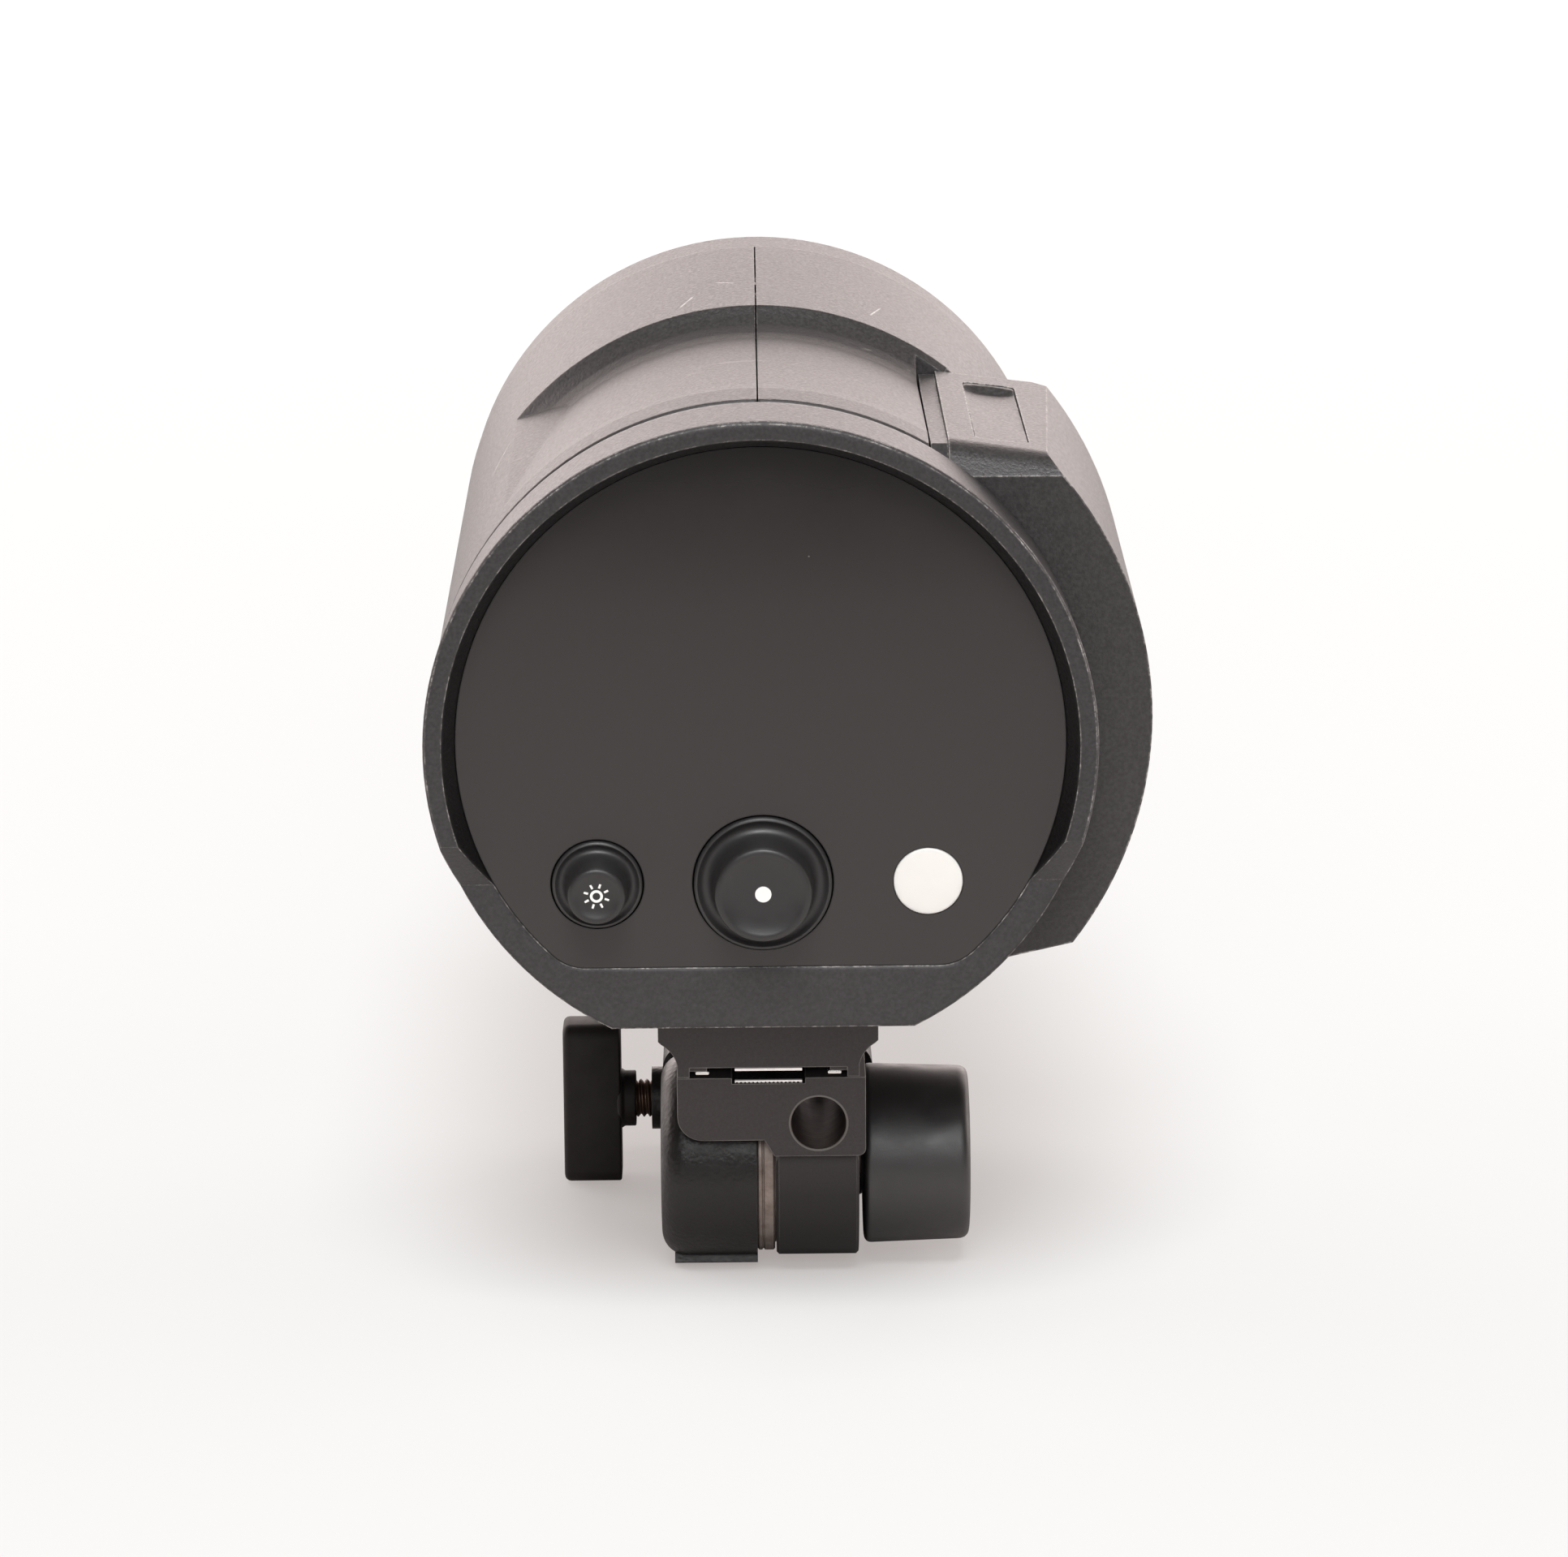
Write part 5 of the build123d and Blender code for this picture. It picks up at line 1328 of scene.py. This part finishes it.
@dataclass
class StandAdapter(SubAssembly):
    """Rail, sliding bracket, hinged stand socket, tilt knob and clamp, in millimetres."""

    knob_left: float = 19.9
    knob_right: float = 41.0
    knob_radius: float = 18.0
    knob_taper: float = 0.65
    insert_radius: float = 8.0
    insert_depth: float = 16.0
    washer_left: float = -1.4
    washer_right: float = 2.1
    washer_radius: float = 19.3
    washer_bore: float = 5.05
    washer_teeth: int = 96
    washer_step: float = 1.6
    washer_raised: float = 0.24
    washer_chamfer: float = 0.35
    tooth_depth: float = 0.28
    clamp_y: float = 104.0
    handle_left: float = -41.4
    handle_right: float = -29.5
    handle_half: Tuple[float, float] = (6.0, 16.8)
    handle_corner: float = 2.8
    handle_rims: Tuple[float, float] = (1.3, 0.5)
    handle_hub: float = 5.8
    hub_end: float = -26.4
    thread_radius: float = 4.0
    thread_depth: float = 0.62
    thread_crest: float = 0.03
    thread_pitch: float = 1.25
    thread_hidden: float = 9.0
    thread_end: float = -10.35
    thread_steps: int = 36
    nose_radius: float = 1.8
    nose_end: float = -8.6
    nose_chamfer: float = 0.4
    hole_x: float = 10.8
    hole_drop: float = -87.4
    hole_radius: float = 5.5
    hole_length: float = 41.0
    plate_rear: float = 38.0
    rail_middle: float = 1.0
    rail_bottom: float = -77.7
    pad_reach: Tuple[float, float] = (11.6, 14.4)
    pad_height: Tuple[float, float] = (0.25, 1.15)
    pad_depth: Tuple[float, float] = (0.5, 8.0)

    def build(self) -> None:
        """Make and dress the stand adapter."""
        self.dress_nodes({
            "foot_rail": ANODISED, "rail_screws": WASHER, "tilt_bracket": ANODISED, "rack_strip": RACK,
            "lock_plate": STRIP, "slot_nuts": WASHER, "bracket_screws": WASHER, "hinge_bolt": WASHER,
            "friction_washer": WASHER, "socket_arm": CAST, "thread_bush": BRASS, "tilt_knob": LOCK_KNOB,
            "knob_insert": BLACK_STEEL, "clamp_screw": THREAD, "t_handle": PADDLE, "pressure_pad": BRASS})
        self.lock_knob()
        self.toothed_washer()
        self.clamp_thread()
        self.paddle()
        self.umbrella_bushing()
        self.glide_pads()

    def lock_knob(self) -> None:
        """Tilt lock: a smooth drum with soft shoulders and a dished end."""
        shoulder = (self.knob_radius, self.knob_left)
        end = (self.knob_radius - self.knob_taper, self.knob_right)
        dish, bottom = (0.0, self.knob_right), self.knob_left + self.insert_depth
        profile = [(self.insert_radius, self.knob_left)] + near(shoulder, (-1.5, 0.0))
        profile += smooth_curve(near(shoulder, (-1.0, 0.1), (-0.3, 0.35), (0.0, 0.8), (0.0, 1.5)), 6)
        profile += smooth_curve(near(end, (0.06, -2.2), (0.0, -1.0), (-0.5, -0.1), (-1.7, 0.0)), 8)
        profile += near(dish, (13.2, 0.0))
        profile += smooth_curve(near(dish, (12.8, -0.08), (12.2, -0.4), (11.9, -1.2), (10.8, -1.35)), 6)
        profile += near(dish, (0.0, -1.6)) + [(0.0, bottom), (self.insert_radius, bottom)]
        mesh = turned(profile, head(*HINGE_MM), Axis.X, steps=128)
        place_piece("tilt_knob_turned", mesh, LOCK_KNOB, "tilt_knob", ("tilt_knob",),
                    crease=50.0)

    def toothed_washer(self) -> None:
        """Steel friction washer, whose rim shows the ends of its radial teeth and one groove."""
        left, right, chamfer = self.washer_left, self.washer_right, self.washer_chamfer
        rim, raised = (self.washer_radius, left), right + self.washer_raised
        profile = [(self.washer_bore, left)]
        profile += near(rim, (-chamfer, 0.0), (0.0, chamfer))
        profile += near(rim, (0.0, 0.9), (-0.3, 1.1), (-0.3, 1.25), (0.0, 1.45))
        profile += near((self.washer_radius, right),
                        (0.0, -chamfer), (-chamfer, 0.0), (-self.washer_step, 0.0))
        profile += [(self.washer_radius - self.washer_step, raised), (self.washer_bore, raised)]
        centre = head(*HINGE_MM)
        mesh = turned(profile, centre, Axis.X, steps=2 * self.washer_teeth)
        for vert in mesh.verts:
            arm = vert.co - centre
            arm.x = 0.0
            step = round(math.atan2(arm.z, arm.y) / math.pi * self.washer_teeth)
            if arm.length > (self.washer_radius - 1.0) * MM and step % 2:
                vert.co -= arm.normalized() * self.tooth_depth * MM
        place_piece("washer_toothed", mesh, WASHER, "arm", ("friction_washer",),
                    crease=20.0)

    def clamp_thread(self) -> None:
        """Clamp screw: a rod with a real helical thread and a plain nose.

        The profile is one line of grooves and crests, which the spin winds forward by one pitch.
        """
        root, crest = self.thread_radius - self.thread_depth, self.thread_radius - self.thread_crest
        start = self.handle_right - self.thread_hidden
        turns = int((self.thread_end - start) / self.thread_pitch)
        profile: List[Point] = [(0.0, start)]
        for turn in range(turns):
            profile += near((0.0, start + turn * self.thread_pitch),
                            (root, 0.0), (root, 0.16), (crest, 0.56), (crest, 0.72))
        end = start + turns * self.thread_pitch
        profile += [(root, end), (0.0, end)]
        centre = head(0.0, self.clamp_y, HINGE_MM.z)
        mesh = bmesh.new()
        line = [mesh.verts.new(centre + Vector((along, 0.0, radius)) * MM) for radius, along in profile]
        edges = [mesh.edges.new(pair) for pair in zip(line, line[1:])]
        bmesh.ops.spin(mesh, geom=line + edges, cent=centre, axis=Axis.X.value, angle=math.tau,
                       steps=self.thread_steps, use_merge=False,
                       dvec=Axis.X.value * self.thread_pitch * MM / self.thread_steps)
        bmesh.ops.remove_doubles(mesh, verts=mesh.verts, dist=4.0 * TOUCH)
        bmesh.ops.dissolve_degenerate(mesh, edges=mesh.edges, dist=2.0 * TOUCH)
        bmesh.ops.holes_fill(mesh, edges=[edge for edge in mesh.edges if edge.is_boundary], sides=0)
        bmesh.ops.recalc_face_normals(mesh, faces=mesh.faces)
        radius, chamfer = self.nose_radius, self.nose_chamfer
        nose = turned([(0.0, self.thread_end - 3.0), (radius, self.thread_end - 3.0),
                       (radius, self.nose_end - chamfer), (radius - chamfer, self.nose_end),
                       (0.0, self.nose_end)], centre, Axis.X, steps=32)
        place_piece("clamp_screw_threaded", drooped(join(mesh, nose)), THREAD, "clamp_screw",
                    ("clamp_screw",), crease=40.0)

    def paddle(self) -> None:
        """Moulded paddle of the clamp: a slab with rounded ends on a short round hub."""
        depth, length = self.handle_half
        low = head(self.handle_left, self.clamp_y - depth, HINGE_MM.z - length)
        high = head(self.handle_right, self.clamp_y + depth, HINGE_MM.z + length)
        mesh = slab(low, high)
        along = [edge for edge in mesh.edges if abs((edge.verts[0].co - edge.verts[1].co).x) > 5.0 * MM]
        round_edges(mesh, along, self.handle_corner, 6)
        for side, radius in zip((low.x, high.x), self.handle_rims):
            rim = [edge for edge in edges_at(mesh, Axis.X, side)
                   if len(edge.link_faces) == 2 and edge.calc_face_angle() > math.radians(45.0)]
            round_edges(mesh, rim, radius, 4)
        bore, hub, foot = self.thread_radius, self.handle_hub, (self.handle_hub, self.handle_right)
        collar = turned([(bore, self.handle_right - 0.6)] + near(foot, (0.5, -0.6), (0.5, 0.1), (0.0, 0.7))
                        + [(hub, self.hub_end), (bore, self.hub_end)],
                        head(0.0, self.clamp_y, HINGE_MM.z), Axis.X, steps=64, soften=0.3)
        place_piece("paddle_moulded", drooped(join(mesh, collar)), PADDLE, "clamp_screw",
                    ("t_handle",), crease=40.0)

    def umbrella_bushing(self) -> None:
        """Rubbed rim and bare bore of the umbrella hole."""
        mouth = (self.hole_radius, self.plate_rear)
        centre = head(self.hole_x, 0.0, self.hole_drop)
        lip = near(mouth, (-0.02, 0.5), (-0.02, 0.02), (0.12, -0.05), (0.34, -0.04), (0.42, 0.03),
                   (0.42, 0.5))
        bore = near(mouth, (-0.1, 0.3), (-0.02, 0.3), (-0.02, self.hole_length), (-0.1, self.hole_length))
        for name, profile, finish in (("umbrella_hole_lip", lip, RUBBED_EDGE),
                                      ("umbrella_hole_bore", bore, BORE)):
            place_piece(name, turned(profile, centre, Axis.Y), finish, "bracket")

    def glide_pads(self) -> None:
        """Two polished pads in the ends of the rail's slit, on which the bracket slides."""
        rear, front = (self.plate_rear + depth for depth in self.pad_depth)
        low, high = (self.rail_bottom + height for height in self.pad_height)
        for name, side in (("glide_pad_left", -1.0), ("glide_pad_right", 1.0)):
            left, right = sorted(self.rail_middle + side * reach for reach in self.pad_reach)
            mesh = slab(head(left, rear, low), head(right, front, high), soften=0.25)
            place_piece(name, mesh, POLISHED, "head")


@dataclass(frozen=True)
class Softbox:
    """A rectangular lamp: its centre and size in metres, and how bright it is where white paper is 1."""

    name: str
    place: Place
    size: Point
    radiance: float
    colour: str = "ffffff"


@dataclass
class Studio:
    """Pale floor, white surroundings, soft lamps and the photograph's camera.

    The camera's place and turn come from a fit to four circles of the body.
    """

    lens_mm: float = 131.81
    sensor_mm: float = 36.0
    distance_mm: float = 1068.0
    side_mm: float = -4.3
    rise_mm: float = 4.9
    pitch: float = 16.67
    yaw: float = 0.37
    roll: float = 0.45
    clip: Tuple[float, float] = (0.05, 100.0)
    floor_half: float = 6.0
    ambient: float = 0.25
    room_glow: float = 0.12
    room_side: Tuple[float, float] = (0.4, 0.85)
    cool: str = "fbf9fa"
    warm: str = "fdefeb"
    sun_elevation: float = 58.0
    sun_spread: float = 26.0
    sun_strength: float = 2.65
    lamps_aim: Place = (0.0, 0.0, 0.1)

    def camera(self) -> None:
        """Place the camera."""
        turn = (Matrix.Rotation(-math.radians(self.roll), 3, "Y")
                @ Matrix.Rotation(math.radians(self.pitch), 3, "X")
                @ Matrix.Rotation(math.radians(self.yaw), 3, "Z")).transposed()
        right, forward, up = (turn @ axis.value for axis in Axis)
        place = HEAD_SHIFT_MM - turn @ Vector((self.side_mm, self.distance_mm, self.rise_mm))
        data = bpy.data.cameras.new("photo_camera")
        data.lens, data.sensor_width = self.lens_mm, self.sensor_mm
        data.clip_start, data.clip_end = self.clip
        camera = bpy.data.objects.new("photo_camera", data)
        pose = Matrix((right, up, -forward)).transposed().to_4x4()
        camera.matrix_world = Matrix.Translation(place * MM) @ pose
        bpy.context.scene.collection.objects.link(camera)
        bpy.context.scene.camera = camera

    def surroundings(self) -> None:
        """Make the world: white where it is seen and softer as light.

        Where it is mirrored it is a dim room, which turns white towards the backdrop in front.
        """
        world = bpy.data.worlds.new("white_surroundings")
        world.use_nodes = True
        tree = world.node_tree
        tree.nodes.clear()
        ray = add_node(tree, "LightPath").outputs
        seen: Feed = ray["Is Camera Ray"]
        for other in ("Is Transmission Ray", "Is Glossy Ray"):
            seen = add_node(tree, "Math", [seen, ray[other]], operation="MAXIMUM")
        way = add_node(tree, "SeparateXYZ", [add_node(tree, "TexCoord").outputs["Generated"]]).outputs["Y"]
        backdrop = add_node(tree, "MapRange", [way, *self.room_side, self.room_glow, 1.0])
        mirrored = add_node(tree, "Mix", [ray["Is Glossy Ray"], 1.0, backdrop])
        strength = add_node(tree, "Mix", [seen, self.ambient, mirrored])
        tint = add_node(tree, "Mix", [ray["Is Glossy Ray"], linear(self.cool), linear(self.warm)],
                        data_type="RGBA")
        sky = add_node(tree, "Background", {"Color": tint, "Strength": strength})
        add_node(tree, "OutputWorld", [sky])
        bpy.context.scene.world = world

    def floor(self) -> None:
        """Make the pale floor."""
        mesh = bmesh.new()
        bmesh.ops.create_grid(mesh, x_segments=1, y_segments=1, size=self.floor_half)
        data = bpy.data.meshes.new("floor")
        mesh.to_mesh(data)
        mesh.free()
        floor = bpy.data.objects.new("floor", data)
        bpy.context.scene.collection.objects.link(floor)
        data.materials.append(surface(PAPER))

    def hang(self, data: bpy.types.Light, place: Vector, facing: Vector) -> None:
        """Put a lamp in its place, where the camera doesn't see it.

        Args:
            data: the lamp's data.
            place: its centre in metres.
            facing: the way that it shines.
        """
        lamp = bpy.data.objects.new(data.name, data)
        turn = facing.to_track_quat("-Z", "Y").to_matrix().to_4x4()
        lamp.matrix_world = Matrix.Translation(place) @ turn
        lamp.visible_camera = False
        bpy.context.scene.collection.objects.link(lamp)

    def overhead(self) -> None:
        """Add one wide, far lamp over the camera that lights everything evenly."""
        data = bpy.data.lights.new("overhead_light", "SUN")
        data.angle = math.radians(self.sun_spread)
        data.energy = self.sun_strength
        high = math.radians(self.sun_elevation)
        self.hang(data, Vector(), Vector((0.0, math.cos(high), -math.sin(high))))

    def softbox(self, box: Softbox) -> None:
        """Add one soft rectangular lamp that faces the flash.

        Args:
            box: the lamp.
        """
        data = bpy.data.lights.new(box.name, "AREA")
        data.shape = "RECTANGLE"
        data.size, data.size_y = box.size
        data.energy = box.radiance * math.pi * box.size[0] * box.size[1]
        data.color = linear(box.colour)[:3]
        self.hang(data, Vector(box.place), Vector(self.lamps_aim) - Vector(box.place))

    def build(self) -> None:
        """Set up the whole studio."""
        self.camera()
        self.surroundings()
        self.floor()
        self.overhead()
        for box in (Softbox("front_softbox", (0.1, -1.7, 1.0), (1.4, 0.7), 3.3),
                    Softbox("rear_softbox", (0.0, 2.2, 0.72), (3.6, 1.5), 2.1, self.warm),
                    Softbox("left_softbox", (-2.2, 0.9, 0.8), (1.6, 1.4), 3.6, self.warm),
                    Softbox("right_softbox", (2.2, 0.5, 0.8), (1.6, 1.4), 3.5, self.warm)):
            self.softbox(box)
        bpy.context.scene.view_settings.view_transform = "Standard"
        LOG.info("studio set up")


def main() -> None:
    """Build every sub-assembly in order, then the studio."""
    logging.basicConfig(level=logging.INFO, format="%(name)s: %(message)s")
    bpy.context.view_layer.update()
    for part in (RearPanel(), Body(), BatteryPack(), LightFront(), StandAdapter()):
        part.build()
        LOG.info("%s done", type(part).__name__)
    Studio().build()


if __name__ == "__main__":
    main()
